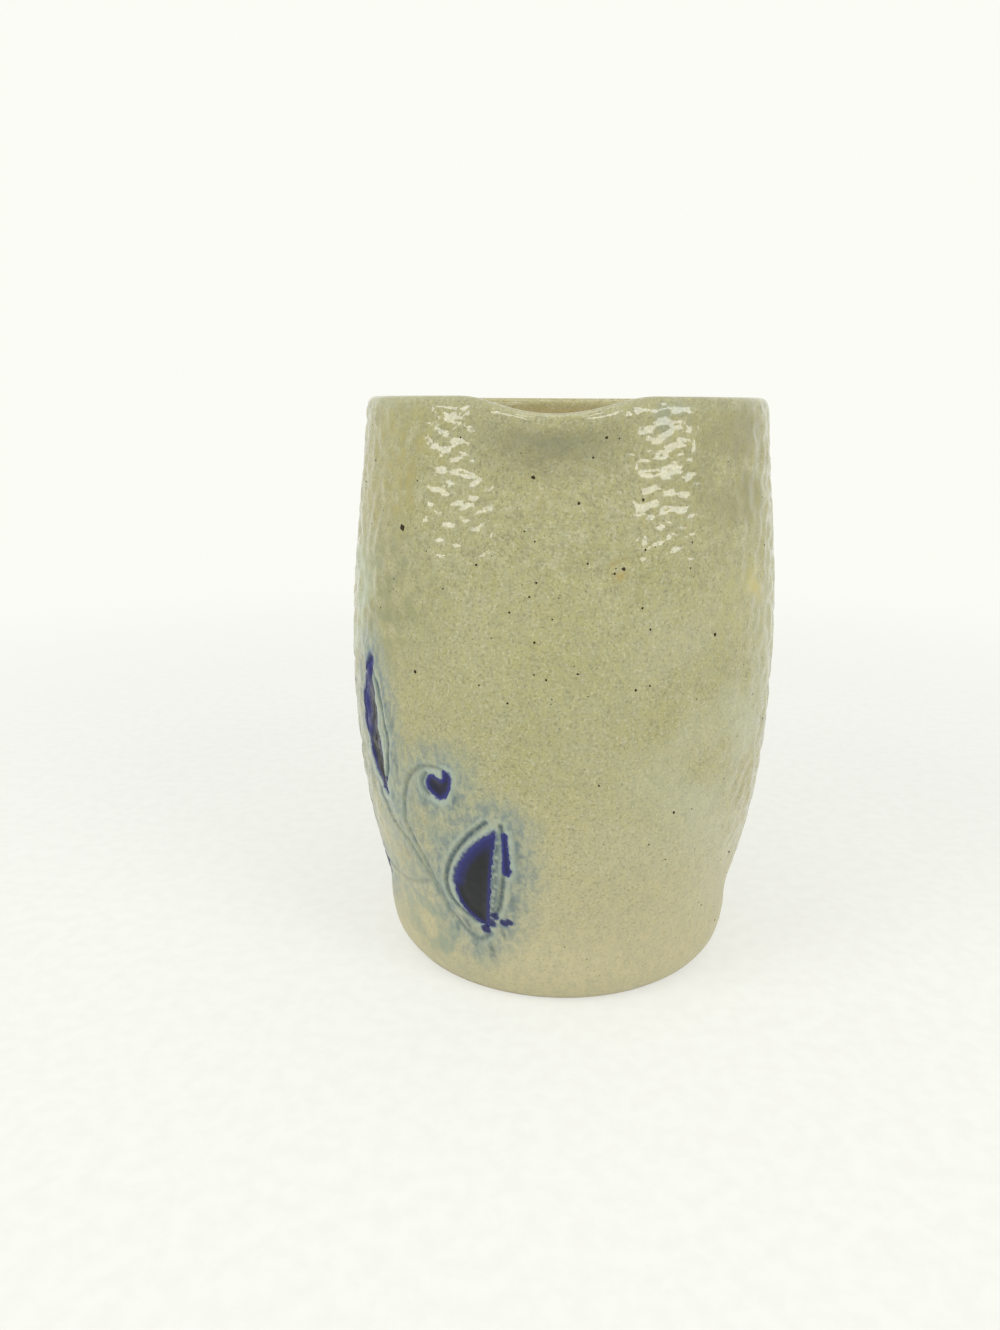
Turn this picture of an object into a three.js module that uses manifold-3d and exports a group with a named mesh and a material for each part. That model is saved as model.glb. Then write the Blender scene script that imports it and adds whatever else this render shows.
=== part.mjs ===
// A salt-glazed stoneware creamer, in millimetres, +Z up, with its origin at the middle of its flat foot.
// The pouring lip faces -Y and the strap handle stands behind it, on +Y. An incised sprig on the -X side
// holds pools of cobalt slip.
import * as THREE from "three";
import { mergeVertices } from "three/addons/utils/BufferGeometryUtils.js";
import Module from "manifold-3d";

const wasm = await Module();
wasm.setup();

// Thrown body, outside
const BODY_HEIGHT = 108;
const FOOT_RADIUS = 32;
const BEVEL_HEIGHT = 7;
const BAND_RADIUS = 35.2;
const BAND_TOP = 13.5;
const BELLY_RADIUS = 41.3;
const BELLY_HEIGHT = 59;
const RIM_RADIUS = 37.6;

// How far the wall runs on in its own direction at the ends of its two bends
const HEEL_FLARE = 4.2;
const HEEL_RISE = 13;
const BELLY_DROP = 20;
const BELLY_RISE = 18;
const RIM_LEAN = 1.2;
const RIM_DROP = 16;

// Thrown body, inside
const WALL = 4.5;
const RIM_WALL = 3.4;
const FLOOR = 6.5;
const FLOOR_FLAT_RADIUS = 22;
const FLOOR_TURN = 10;
const INSIDE_DROP = 29;

// Pouring lip, pulled out of the rim
const LIP_WIDTH = 34;
const LIP_REACH = 5.5;
const LIP_DIP = 2.6;
const LIP_THROAT = 15;

// Pulled strap handle: its root lies under the rim, and its tail below the root
const HANDLE_DROP = 15;
const HANDLE_SPAN = 54;
const HANDLE_REACH = 29;
const HANDLE_RISE = 7;
const TAIL_LIFT = 6;
const ROOT_WIDTH = 22;
const ROOT_THICKNESS = 7.6;
const TAIL_WIDTH = 15.5;
const TAIL_THICKNESS = 5.6;
const GROOVE_WIDTH = 11;
const GROOVE_DEPTH = 0.9;

// Slip that lutes the handle's two ends to the wall
const SLIP_BED = 1;
const SLIP_LENGTH = 4;
const SLIP_SPREAD = 4;
const SLIP_EDGE = 0.9;

// Recesses of the incised sprig and the cobalt slip in them
const RECESS_DEPTH = 1.1;
const COBALT_SINK = 0.1;
const FIT_GAP = 0.3;

// The sprig's middle line, in degrees from the lip, and each piece's degrees from that line, middle height
// above the foot and size. A lean carries the top of a leaf away from the middle line. The vein lies beside
// the leaf's straight side, past a rib of the wall.
const SPRIG_ANGLE = -68.5;
const PETAL_ANGLE = 13.4;
const PETAL_MIDDLE = 49.6;
const PETAL_WIDTH = 5;
const PETAL_HEIGHT = 25;
const PETAL_LEAN = -3.6;
const BERRY_ANGLE = 40.2;
const BERRY_MIDDLE = 42.8;
const BERRY_RADIUS = 2.4;
const LEAF_ANGLE = 48.1;
const LEAF_MIDDLE = 25.5;
const LEAF_WIDTH = 7.1;
const LEAF_HEIGHT = 20.3;
const LEAF_LEAN = 3.1;
const VEIN_MIDDLE = 31.6;
const VEIN_RIB = 1.15;
const VEIN_WIDTH = 1.3;
const VEIN_HEIGHT = 8.2;
const BUD_MIDDLE = 17.4;
const BUD_WIDTH = 4.4;
const BUD_HEIGHT = 6.6;

// The share of its two handles' reach that a cubic bend has at its middle
const BEND_SHARE = 3 / 4;

// Fineness of the facets
const BODY_FACETS = 72;
const BEND_STEPS = 7;
const EDGE_STEPS = 4;
const STRAP_FACETS = 20;
const STRAP_STEPS = 20;
const SLIP_STEPS = 4;
const OUTLINE_STEPS = 8;

const stoneware = { color: 0xb9b089, roughness: 0.38, metalness: 0 };
const lutingSlip = { color: 0xb4a985, roughness: 0.45, metalness: 0 };
const cobaltGlass = { color: 0x16194f, roughness: 0.12, metalness: 0 };

// Solids from three.js geometry, and back

function solidOf(geometry) {
  const bare = geometry.clone();
  bare.deleteAttribute("normal");
  bare.deleteAttribute("uv");
  const merged = mergeVertices(bare, 1e-3);
  return new wasm.Manifold(
    new wasm.Mesh({
      numProp: 3,
      vertProperties: merged.attributes.position.array,
      triVerts: new Uint32Array(merged.index.array),
    }),
  );
}

function geometryOf(solid) {
  const { vertProperties, triVerts } = solid.getMesh();
  const geometry = new THREE.BufferGeometry();
  geometry.setAttribute("position", new THREE.BufferAttribute(vertProperties, 3));
  geometry.setIndex(new THREE.BufferAttribute(triVerts, 1));
  geometry.computeVertexNormals();
  return geometry;
}

function piece(name, solid, finish) {
  const mesh = new THREE.Mesh(geometryOf(solid), new THREE.MeshStandardMaterial(finish));
  mesh.name = name;
  return mesh;
}

// Moves every vertex of a geometry by a function that changes the point it is given.
function reshape(geometry, move) {
  const place = geometry.attributes.position;
  const point = new THREE.Vector3();
  for (let i = 0; i < place.count; i += 1) {
    move(point.fromBufferAttribute(place, i));
    place.setXYZ(i, point.x, point.y, point.z);
  }
  return geometry;
}

// Turns a profile of radius and height about +Z, with its first column of points facing -Y.
function turned(profile) {
  return new THREE.LatheGeometry(profile, BODY_FACETS).rotateX(Math.PI / 2);
}

// The wall's two bends, as the outside has them or drawn in by a wall's thickness

function upperBend(bellyRadius, rimRadius, rimHeight) {
  return new THREE.CubicBezierCurve(
    new THREE.Vector2(bellyRadius, BELLY_HEIGHT),
    new THREE.Vector2(bellyRadius, BELLY_HEIGHT + BELLY_RISE),
    new THREE.Vector2(rimRadius + RIM_LEAN, rimHeight - RIM_DROP),
    new THREE.Vector2(rimRadius, rimHeight),
  );
}

function lowerBend() {
  return new THREE.CubicBezierCurve(
    new THREE.Vector2(BAND_RADIUS, BAND_TOP),
    new THREE.Vector2(BAND_RADIUS + HEEL_FLARE, BAND_TOP + HEEL_RISE),
    new THREE.Vector2(BELLY_RADIUS, BELLY_HEIGHT - BELLY_DROP),
    new THREE.Vector2(BELLY_RADIUS, BELLY_HEIGHT),
  );
}

const shoulderHeight = BODY_HEIGHT - RIM_WALL / 2;

// The outside from the foot's edge to the rim's shoulder: a bevel, the foot's band and the two bends.
function outsideProfile() {
  const bevel = new THREE.QuadraticBezierCurve(
    new THREE.Vector2(FOOT_RADIUS, 0),
    new THREE.Vector2(BAND_RADIUS, BEVEL_HEIGHT / 2),
    new THREE.Vector2(BAND_RADIUS, BEVEL_HEIGHT),
  );
  const upper = upperBend(BELLY_RADIUS, RIM_RADIUS, shoulderHeight);
  return [
    ...bevel.getPoints(EDGE_STEPS),
    ...lowerBend().getPoints(BEND_STEPS),
    ...upper.getPoints(BEND_STEPS).slice(1),
  ];
}

// The inside from the rim's inner shoulder down to the middle of the floor.
function insideProfile() {
  const bellyRadius = BELLY_RADIUS - WALL;
  const upper = upperBend(bellyRadius, RIM_RADIUS - RIM_WALL, shoulderHeight);
  const lower = new THREE.CubicBezierCurve(
    new THREE.Vector2(bellyRadius, BELLY_HEIGHT),
    new THREE.Vector2(bellyRadius, BELLY_HEIGHT - INSIDE_DROP),
    new THREE.Vector2(FLOOR_FLAT_RADIUS + FLOOR_TURN, FLOOR),
    new THREE.Vector2(FLOOR_FLAT_RADIUS, FLOOR),
  );
  const down = upper.getPoints(BEND_STEPS).reverse();
  return [...down, ...lower.getPoints(BEND_STEPS).slice(1), new THREE.Vector2(0, FLOOR)];
}

function rimProfile() {
  const round = new THREE.EllipseCurve(
    RIM_RADIUS - RIM_WALL / 2, shoulderHeight, RIM_WALL / 2, RIM_WALL / 2, 0, Math.PI,
  );
  return round.getPoints(EDGE_STEPS).slice(1, -1);
}

// Radius of the outside at a height, between the points of its profile.
function outsideRadius(height) {
  const profile = outsideProfile();
  const above = profile.findIndex((p) => p.y > height);
  const [low, high] = [profile[above - 1], profile[above]];
  return THREE.MathUtils.mapLinear(height, low.y, high.y, low.x, high.x);
}

// Draws the wall out and down near the rim, most at the middle of the lip and not at all past its sides.
function pullLip(point) {
  const across = (Math.atan2(point.x, -point.y) * RIM_RADIUS) / (LIP_WIDTH / 2);
  const depth = (BODY_HEIGHT - point.z) / LIP_THROAT;
  if (Math.abs(across) >= 1 || depth >= 1) {
    return;
  }
  const pull = (Math.cos((across * Math.PI) / 2) * (1 - depth)) ** 2;
  const radius = Math.hypot(point.x, point.y);
  point.x *= (radius + LIP_REACH * pull) / radius;
  point.y *= (radius + LIP_REACH * pull) / radius;
  point.z -= LIP_DIP * pull;
}

function thrownBody() {
  const middle = new THREE.Vector2(0, 0);
  const profile = [middle, ...outsideProfile(), ...rimProfile(), ...insideProfile()];
  return solidOf(reshape(turned(profile), pullLip));
}

// The body's outside as a full solid, grown by a distance, that trims what lies against the wall. It goes on
// straight up past the rim.
function envelope(growth) {
  const top = BODY_HEIGHT + ROOT_THICKNESS;
  const side = [...outsideProfile(), new THREE.Vector2(RIM_RADIUS, top)];
  const grownSide = side.map((p) => new THREE.Vector2(p.x + growth, p.y));
  return solidOf(turned([new THREE.Vector2(0, 0), ...grownSide, new THREE.Vector2(0, top)]));
}

// A layer of the wall between two distances from its outside, inwards if negative.
function skin(outer, inner) {
  return envelope(outer).subtract(envelope(inner));
}

// The strap's middle line, from inside the wall under the rim, round the back, to inside the wall lower down
const rootHeight = BODY_HEIGHT - HANDLE_DROP;
const tailHeight = rootHeight - HANDLE_SPAN;

function strapLine() {
  const rootRadius = outsideRadius(rootHeight);
  const tailRadius = outsideRadius(tailHeight);
  const bow = (HANDLE_REACH - ROOT_THICKNESS / 2) / BEND_SHARE;
  return new THREE.CubicBezierCurve3(
    new THREE.Vector3(0, rootRadius - WALL / 2, rootHeight),
    new THREE.Vector3(0, rootRadius + bow, rootHeight + HANDLE_RISE),
    new THREE.Vector3(0, tailRadius + bow, tailHeight + TAIL_LIFT),
    new THREE.Vector3(0, tailRadius - WALL / 2, tailHeight),
  );
}

// A closed tube bent along a stretch of the strap's line. size gives its width and thickness along the way,
// and the depth of the thumb groove on its outer side.
function strapTube(from, to, steps, size) {
  const line = strapLine();
  const across = new THREE.Vector3(1, 0, 0);
  const tube = new THREE.CylinderGeometry(1, 1, 1, STRAP_FACETS, steps);
  return solidOf(
    reshape(tube, (point) => {
      const along = THREE.MathUtils.mapLinear(point.y, 0.5, -0.5, from, to);
      const { width, thickness, groove } = size(along);
      const inward = new THREE.Vector3().crossVectors(line.getTangent(along), across);
      const dent = groove * Math.max(0, -point.z) * Math.max(0, 1 - ((point.x * width) / GROOVE_WIDTH) ** 2);
      const rise = (point.z * thickness) / 2 + dent;
      const shift = across.clone().multiplyScalar((point.x * width) / 2);
      point.copy(line.getPoint(along)).add(shift).addScaledVector(inward, rise);
    }),
  );
}

// The strap's width, thickness and groove along its line, grown all round by a clearance.
function strapSize(growth) {
  return (along) => ({
    width: THREE.MathUtils.lerp(ROOT_WIDTH, TAIL_WIDTH, along) + 2 * growth,
    thickness: THREE.MathUtils.lerp(ROOT_THICKNESS, TAIL_THICKNESS, along) + 2 * growth,
    groove: GROOVE_DEPTH,
  });
}

function strapHandle() {
  return strapTube(0, 1, STRAP_STEPS, strapSize(0)).subtract(envelope(SLIP_BED + 2 * FIT_GAP));
}

// A pad of slip that spreads on the wall and thins out along the strap, with a seat for the strap's end.
function slipPad(end) {
  const reach = (SLIP_LENGTH + WALL / 2) / strapLine().getLength();
  const size = (along) => {
    const left = 1 - Math.abs(along - end) / reach;
    const spread = SLIP_EDGE + (SLIP_SPREAD - SLIP_EDGE) * left ** 2;
    return { ...strapSize(spread)(along), groove: 0 };
  };
  const [from, to] = end === 0 ? [0, reach] : [1 - reach, 1];
  const seat = strapTube(0, 1, STRAP_STEPS, strapSize(FIT_GAP)).subtract(envelope(SLIP_BED + FIT_GAP));
  return strapTube(from, to, SLIP_STEPS, size).subtract(envelope(FIT_GAP)).subtract(seat);
}

// Outlines of the sprig's recesses, drawn flat with +X to the right of someone facing the wall

// A leaf with a straight side on its right and a bowed side, fullest below its middle, on its left.
function bowedLeaf(width, height, lean) {
  const edge = width / 2;
  const bow = edge - width / BEND_SHARE;
  const shape = new THREE.Shape();
  shape.moveTo(edge - lean / 2, -height / 2);
  shape.bezierCurveTo(bow - lean / 2, -height / 3, bow + lean / 2, height / 5, edge + lean / 2, height / 2);
  return shape.getPoints(OUTLINE_STEPS);
}

// A leaf that is pointed at both ends and bowed on both sides.
function pointedLeaf(width, height) {
  const shape = new THREE.Shape();
  shape.moveTo(0, -height / 2);
  shape.quadraticCurveTo(width, 0, 0, height / 2);
  shape.quadraticCurveTo(-width, 0, 0, -height / 2);
  return shape.getPoints(OUTLINE_STEPS);
}

function roundBerry(radius) {
  return new THREE.Shape().absarc(0, 0, radius, 0, 2 * Math.PI).getPoints(OUTLINE_STEPS);
}

// A short upright bar with round ends, whose middle lies to the right of the place it is given.
function roundBar(width, height, right) {
  const [radius, straight] = [width / 2, (height - width) / 2];
  const shape = new THREE.Shape();
  shape.absarc(right, straight, radius, 0, Math.PI);
  shape.absarc(right, -straight, radius, Math.PI, 2 * Math.PI);
  return shape.getPoints(EDGE_STEPS);
}

// The outline moved outwards by a distance on every side, with its corners kept sharp.
function grown(outline, distance) {
  const corners = outline.filter((p, i) => p.distanceTo(outline[(i + 1) % outline.length]) > 1e-6);
  if (THREE.ShapeUtils.isClockWise(corners)) {
    corners.reverse();
  }
  const outwards = corners.map((p, i) => {
    const next = corners[(i + 1) % corners.length];
    return new THREE.Vector2(next.y - p.y, p.x - next.x).normalize();
  });
  return corners.map((p, i) => {
    const before = outwards[(i + corners.length - 1) % corners.length];
    const mitre = before.clone().add(outwards[i]).normalize();
    return p.clone().addScaledVector(mitre, distance / mitre.dot(outwards[i]));
  });
}

// A prism of the outline that runs out from the axis through the wall, at an angle from the lip and a height.
function prism(outline, angle, height) {
  const turn = THREE.MathUtils.degToRad(angle);
  const outward = new THREE.Vector3(Math.sin(turn), -Math.cos(turn), 0);
  const right = new THREE.Vector3(Math.cos(turn), Math.sin(turn), 0);
  const up = new THREE.Vector3(0, 0, 1);
  const place = new THREE.Matrix4().makeBasis(right, up, outward).setPosition(0, 0, height);
  const reach = BELLY_RADIUS + RECESS_DEPTH;
  const block = new THREE.ExtrudeGeometry(new THREE.Shape(outline), { depth: reach, bevelEnabled: false });
  return solidOf(block.applyMatrix4(place));
}

// Every pool of cobalt slip, with the two sides of the sprig mirrored about its middle line.
function cobaltPools() {
  const pools = [
    { name: "cobalt_bud", outline: pointedLeaf(BUD_WIDTH, BUD_HEIGHT), angle: 0, height: BUD_MIDDLE },
  ];
  const veinPlace = (LEAF_WIDTH + LEAF_LEAN + VEIN_WIDTH) / 2 + VEIN_RIB;
  for (const [side, mirror] of [["right", 1], ["left", -1]]) {
    const add = (name, outline, angle, height) => {
      const mirrored = outline.map((p) => new THREE.Vector2(mirror * p.x, p.y));
      pools.push({ name: `cobalt_${name}_${side}`, outline: mirrored, angle: mirror * angle, height });
    };
    add("petal", bowedLeaf(PETAL_WIDTH, PETAL_HEIGHT, PETAL_LEAN), PETAL_ANGLE, PETAL_MIDDLE);
    add("berry", roundBerry(BERRY_RADIUS), BERRY_ANGLE, BERRY_MIDDLE);
    add("leaf", bowedLeaf(LEAF_WIDTH, LEAF_HEIGHT, LEAF_LEAN), LEAF_ANGLE, LEAF_MIDDLE);
    add("vein", roundBar(VEIN_WIDTH, VEIN_HEIGHT, veinPlace), LEAF_ANGLE, VEIN_MIDDLE);
  }
  return pools;
}

const creamer = new THREE.Group();
let body = thrownBody();
const recessLayer = skin(RECESS_DEPTH, -RECESS_DEPTH);
const cobaltLayer = skin(-COBALT_SINK, FIT_GAP - RECESS_DEPTH);

for (const { name, outline, angle, height } of cobaltPools()) {
  const place = [SPRIG_ANGLE + angle, height];
  body = body.subtract(prism(grown(outline, FIT_GAP), ...place).intersect(recessLayer));
  creamer.add(piece(name, prism(grown(outline, 0), ...place).intersect(cobaltLayer), cobaltGlass));
}

creamer.add(piece("thrown_body", body, stoneware));
creamer.add(piece("strap_handle", strapHandle(), stoneware));
creamer.add(piece("handle_root_slip", slipPad(0), lutingSlip));
creamer.add(piece("handle_tail_slip", slipPad(1), lutingSlip));

export default creamer;
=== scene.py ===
"""A thrown, salt-glazed stoneware creamer with an incised cobalt sprig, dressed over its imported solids.

Lengths are metres and angles are degrees. The pot stands on z = 0 with its axis on Z, its pouring lip
towards -Y and its strap handle towards +Y. Angles round the pot run from the lip towards +X.
"""

import logging
import math
from dataclasses import dataclass, field
from enum import Enum
from functools import cached_property
from typing import Mapping, Sequence

import bpy
import numpy as np
from bpy.types import Material, Node, NodeSocket, Object, World
from mathutils import Matrix, Vector


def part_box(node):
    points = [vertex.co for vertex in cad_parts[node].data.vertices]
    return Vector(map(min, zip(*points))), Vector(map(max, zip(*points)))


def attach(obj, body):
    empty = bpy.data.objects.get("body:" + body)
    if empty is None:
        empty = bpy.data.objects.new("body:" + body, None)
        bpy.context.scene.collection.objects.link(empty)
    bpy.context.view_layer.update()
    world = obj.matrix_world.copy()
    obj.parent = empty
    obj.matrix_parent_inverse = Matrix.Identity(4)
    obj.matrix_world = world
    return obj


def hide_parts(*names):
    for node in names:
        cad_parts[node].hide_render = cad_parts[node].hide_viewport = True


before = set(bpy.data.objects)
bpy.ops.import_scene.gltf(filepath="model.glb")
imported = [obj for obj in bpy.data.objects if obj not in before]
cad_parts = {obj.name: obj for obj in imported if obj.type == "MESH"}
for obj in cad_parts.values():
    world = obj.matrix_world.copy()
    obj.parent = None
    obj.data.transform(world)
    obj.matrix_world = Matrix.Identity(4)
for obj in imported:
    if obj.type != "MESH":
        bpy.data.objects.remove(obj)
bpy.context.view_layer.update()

BODY = "root"
COBALT_FIELDS = ("groove", "haze", "stain", "ridge")
GLAZE_FIELDS = ("pebble", *COBALT_FIELDS, "throat")
Array = np.ndarray
Fields = dict[str, Array]
Colour = tuple[float, float, float, float]
Span = tuple[float, float]
log = logging.getLogger("creamer")

# The curve between a screen colour and a linear one
SCREEN_LEVELS = 255
SCREEN_TURN = 0.04045
SCREEN_SLOPE = 12.92
SCREEN_OFFSET = 0.055
SCREEN_POWER = 2.4


def srgb(red: int, green: int, blue: int) -> Colour:
    """Turn a screen colour into the linear colour that a shader socket takes.

    Args:
        red: Red from 0 to 255.
        green: Green from 0 to 255.
        blue: Blue from 0 to 255.

    Returns:
        The linear colour with an alpha of 1.
    """
    linear = []
    for level in (red, green, blue):
        share = level / SCREEN_LEVELS
        curved = ((share + SCREEN_OFFSET) / (1.0 + SCREEN_OFFSET)) ** SCREEN_POWER
        linear.append(share / SCREEN_SLOPE if share <= SCREEN_TURN else curved)
    return (linear[0], linear[1], linear[2], 1.0)


def ease(value: Array, start: float | Array, end: float) -> Array:
    """Rise smoothly from 0 at start to 1 at end, or fall where start is above end."""
    share = np.clip((value - start) / (end - start), 0.0, 1.0)
    return share * share * (3.0 - 2.0 * share)


def bezier(controls: Sequence[tuple[float, float]], steps: int) -> Array:
    """Sample a Bezier curve of any degree.

    Args:
        controls: The control points.
        steps: How many steps to take along it.

    Returns:
        One row for each of the steps + 1 points.
    """
    share = np.linspace(0.0, 1.0, steps + 1)[:, None]
    degree = len(controls) - 1
    total = np.zeros((steps + 1, len(controls[0])))
    for index, control in enumerate(controls):
        weight = math.comb(degree, index) * share**index * (1.0 - share) ** (degree - index)
        total += weight * np.asarray(control, float)
    return total


def curve_through(points: Sequence[tuple[float, float]], steps: int = 8) -> Array:
    """Draw a smooth line through points.

    Args:
        points: The points that the line passes, in order.
        steps: How many steps to take between two of them.

    Returns:
        The sampled line, one row for each point of it.
    """
    knots = np.asarray(points, float)
    padded = np.vstack([2 * knots[0] - knots[1], knots, 2 * knots[-1] - knots[-2]])
    share = np.linspace(0.0, 1.0, steps, endpoint=False)[:, None]
    spans = []
    for before, start, end, after in zip(padded, padded[1:], padded[2:], padded[3:]):
        leave = (end - before) / 2
        arrive = (after - start) / 2
        bend = 3 * (end - start) - 2 * leave - arrive
        close = 2 * (start - end) + leave + arrive
        spans.append(start + leave * share + bend * share**2 + close * share**3)
    return np.vstack(spans + [knots[-1:]])


def even_steps(line: Array, step: float) -> Array:
    """Sample a line again at even steps along its length.

    Args:
        line: The line's points.
        step: About how long a step is.

    Returns:
        The points of the even line, with both ends kept.
    """
    run = np.concatenate([[0.0], np.cumsum(np.linalg.norm(np.diff(line, axis=0), axis=1))])
    places = np.linspace(0.0, run[-1], max(2, round(run[-1] / step) + 1))
    return np.column_stack([np.interp(places, run, line[:, axis]) for axis in range(line.shape[1])])


def distance_to_line(points: Array, line: Array, reach: float) -> Array:
    """Measure how far points lie from a line.

    Args:
        points: Points in a plane, one a row.
        line: The line's points in the same plane.
        reach: The distance past which the exact number doesn't matter.

    Returns:
        The distances, with reach for the points that lie further off.
    """
    found = np.full(len(points), reach)
    low, high = line.min(0) - reach, line.max(0) + reach
    near = np.flatnonzero(((points > low) & (points < high)).all(1))
    place = points[near]
    best = np.full(len(near), reach)
    for start, end in zip(line[:-1], line[1:]):
        side = end - start
        share = np.clip((place - start) @ side / (side @ side), 0.0, 1.0)
        best = np.minimum(best, np.linalg.norm(place - start - share[:, None] * side, axis=1))
    found[near] = best
    return found


def inside_outline(points: Array, outline: Array) -> Array:
    """Tell which points lie inside a closed outline.

    Args:
        points: Points in a plane, one a row.
        outline: The outline's corners, the first not repeated at the end.

    Returns:
        True for each point inside.
    """
    inside = np.zeros(len(points), bool)
    across, up = points[:, 0], points[:, 1]
    for (x0, y0), (x1, y1) in zip(outline, np.roll(outline, -1, axis=0)):
        if y0 != y1:
            crosses = (y0 > up) != (y1 > up)
            inside ^= crosses & (across < x0 + (up - y0) / (y1 - y0) * (x1 - x0))
    return inside


def wrapped(angle: Array) -> Array:
    """Bring angles in radians into the turn from -pi to pi."""
    return (angle + math.pi) % math.tau - math.pi


def about_axis(angle: Array, radius: Array, height: Array) -> Array:
    """Place points about the pot's axis, one a row."""
    return np.column_stack([radius * np.sin(angle), -radius * np.cos(angle), height])


def bell(value: Array, width: float) -> Array:
    """Fall from 1 at 0 along a bell curve of a width."""
    return np.exp(-((value / width) ** 2))


def raise_to(heap: Array, values: Array) -> None:
    """Raise the numbers of a heap to values, where those are higher."""
    np.maximum(heap, values, out=heap)


def band_faces(start: int, after: int, count: int) -> list[list[int]]:
    """Join two rings of points, which begin at the indices start and after, by a band of faces."""
    return [[start + k, start + (k + 1) % count, after + (k + 1) % count, after + k] for k in range(count)]


@dataclass(frozen=True)
class Waves:
    """A smooth random relief: many plane waves of about one length, added up to a spread of 1.

    Attributes:
        length: The usual length of a wave.
        seed: The seed that sets the waves.
        stretch: How much longer the waves are along X, Y and Z.
        spread: How much the lengths differ.
        count: How many waves there are.
    """

    length: float
    seed: int
    stretch: tuple[float, float, float] = (1.0, 1.0, 1.0)
    spread: float = 0.3
    count: int = 56

    def at(self, points: Array) -> Array:
        """Give the relief at points in space.

        Args:
            points: One point a row.

        Returns:
            The height of the relief at each, with a mean of 0 and a spread of about 1.
        """
        draw = np.random.default_rng(self.seed)
        ways = draw.normal(size=(self.count, 3))
        ways /= np.linalg.norm(ways, axis=1)[:, None]
        lengths = self.length * np.exp(draw.normal(0.0, self.spread, self.count))
        starts = draw.uniform(0.0, math.tau, self.count)
        total = np.zeros(len(points))
        for way, length, start in zip(ways, lengths, starts):
            total += np.cos(points @ (math.tau * way / length / np.asarray(self.stretch)) + start)
        return total * math.sqrt(2.0 / self.count)


class NodeSketch:
    """The node tree of a material or a world, with short calls that add nodes and join them."""

    def __init__(self, owner: Material | World) -> None:
        """Start with an empty node tree.

        Args:
            owner: The material or the world.
        """
        self.owner = owner
        owner.use_nodes = True
        self.tree = owner.node_tree
        self.tree.nodes.clear()

    @cached_property
    def where(self) -> NodeSocket:
        """The place of the point that is shaded."""
        return self.add("ShaderNodeTexCoord").outputs["Object"]

    def add(self, kind: str, inputs: Mapping | None = None, **settings: object) -> Node:
        """Add a node.

        Args:
            kind: The node's type name.
            inputs: What goes into its sockets: a value, or another node's output.
            settings: Properties of the node.

        Returns:
            The node.
        """
        node = self.tree.nodes.new(kind)
        for name, setting in settings.items():
            setattr(node, name, setting)
        for key, value in (inputs or {}).items():
            if isinstance(value, NodeSocket):
                self.tree.links.new(value, node.inputs[key])
            else:
                node.inputs[key].default_value = value
        return node

    def field(self, name: str) -> NodeSocket:
        """Read a number that each point of the mesh carries."""
        return self.add("ShaderNodeAttribute", attribute_name=name).outputs["Fac"]

    def span(self, value: NodeSocket, start: float, end: float, low: float = 0.0,
             high: float = 1.0) -> NodeSocket:
        """Map a range of numbers smoothly to another.

        Args:
            value: The number.
            start: What maps to low.
            end: What maps to high.
            low: The first result.
            high: The last result.

        Returns:
            The mapped number.
        """
        (start, low), (end, high) = sorted(((start, low), (end, high)))
        inputs = {"Value": value, "From Min": start, "From Max": end, "To Min": low, "To Max": high}
        return self.add("ShaderNodeMapRange", inputs, interpolation_type="SMOOTHSTEP").outputs["Result"]

    def maths(self, kind: str, first: object, second: object) -> NodeSocket:
        """Join two numbers by a maths node of a kind."""
        return self.add("ShaderNodeMath", {0: first, 1: second}, operation=kind).outputs["Value"]

    def times(self, first: object, second: object) -> NodeSocket:
        """Multiply two numbers."""
        return self.maths("MULTIPLY", first, second)

    def plus(self, first: object, second: object) -> NodeSocket:
        """Add two numbers."""
        return self.maths("ADD", first, second)

    def vary(self, value: object, least: float, more: float) -> NodeSocket:
        """Let a number vary from a least one by so much more as a value from 0 to 1 says."""
        return self.plus(self.times(value, more), least)

    def height(self) -> NodeSocket:
        """Give the height over the ground."""
        return self.add("ShaderNodeSeparateXYZ", {"Vector": self.where}).outputs["Z"]

    def distance(self, centre: Sequence[float]) -> NodeSocket:
        """Give the distance to a point."""
        inputs = {0: self.where, 1: tuple(centre)}
        return self.add("ShaderNodeVectorMath", inputs, operation="DISTANCE").outputs["Value"]

    def mix(self, share: object, first: object, second: object) -> NodeSocket:
        """Mix two colours.

        Args:
            share: How much of the second colour there is.
            first: The colour below.
            second: The colour on top.

        Returns:
            The mixed colour.
        """
        inputs = {"Factor": share, "A": first, "B": second}
        return self.add("ShaderNodeMix", inputs, data_type="RGBA").outputs["Result"]

    def bump(self, height: NodeSocket, depth: float, strength: float = 1.0,
             below: NodeSocket | None = None) -> NodeSocket:
        """Add a fine relief.

        Args:
            height: The relief, from 0 to 1.
            depth: What a height of 1 measures.
            strength: How much of it shows.
            below: The normal of a relief under this one.

        Returns:
            The normal.
        """
        inputs = {"Height": height, "Distance": depth, "Strength": strength}
        if below is not None:
            inputs["Normal"] = below
        return self.add("ShaderNodeBump", inputs).outputs["Normal"]

    def close(self, **inputs: object) -> Material:
        """End the tree in a Principled shader.

        Args:
            inputs: What goes into the shader's sockets, with _ for each space of their names.

        Returns:
            The material.
        """
        named = {name.replace("_", " "): value for name, value in inputs.items()}
        shader = self.add("ShaderNodeBsdfPrincipled", named)
        self.add("ShaderNodeOutputMaterial", {"Surface": shader.outputs["BSDF"]})
        return self.owner


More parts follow.
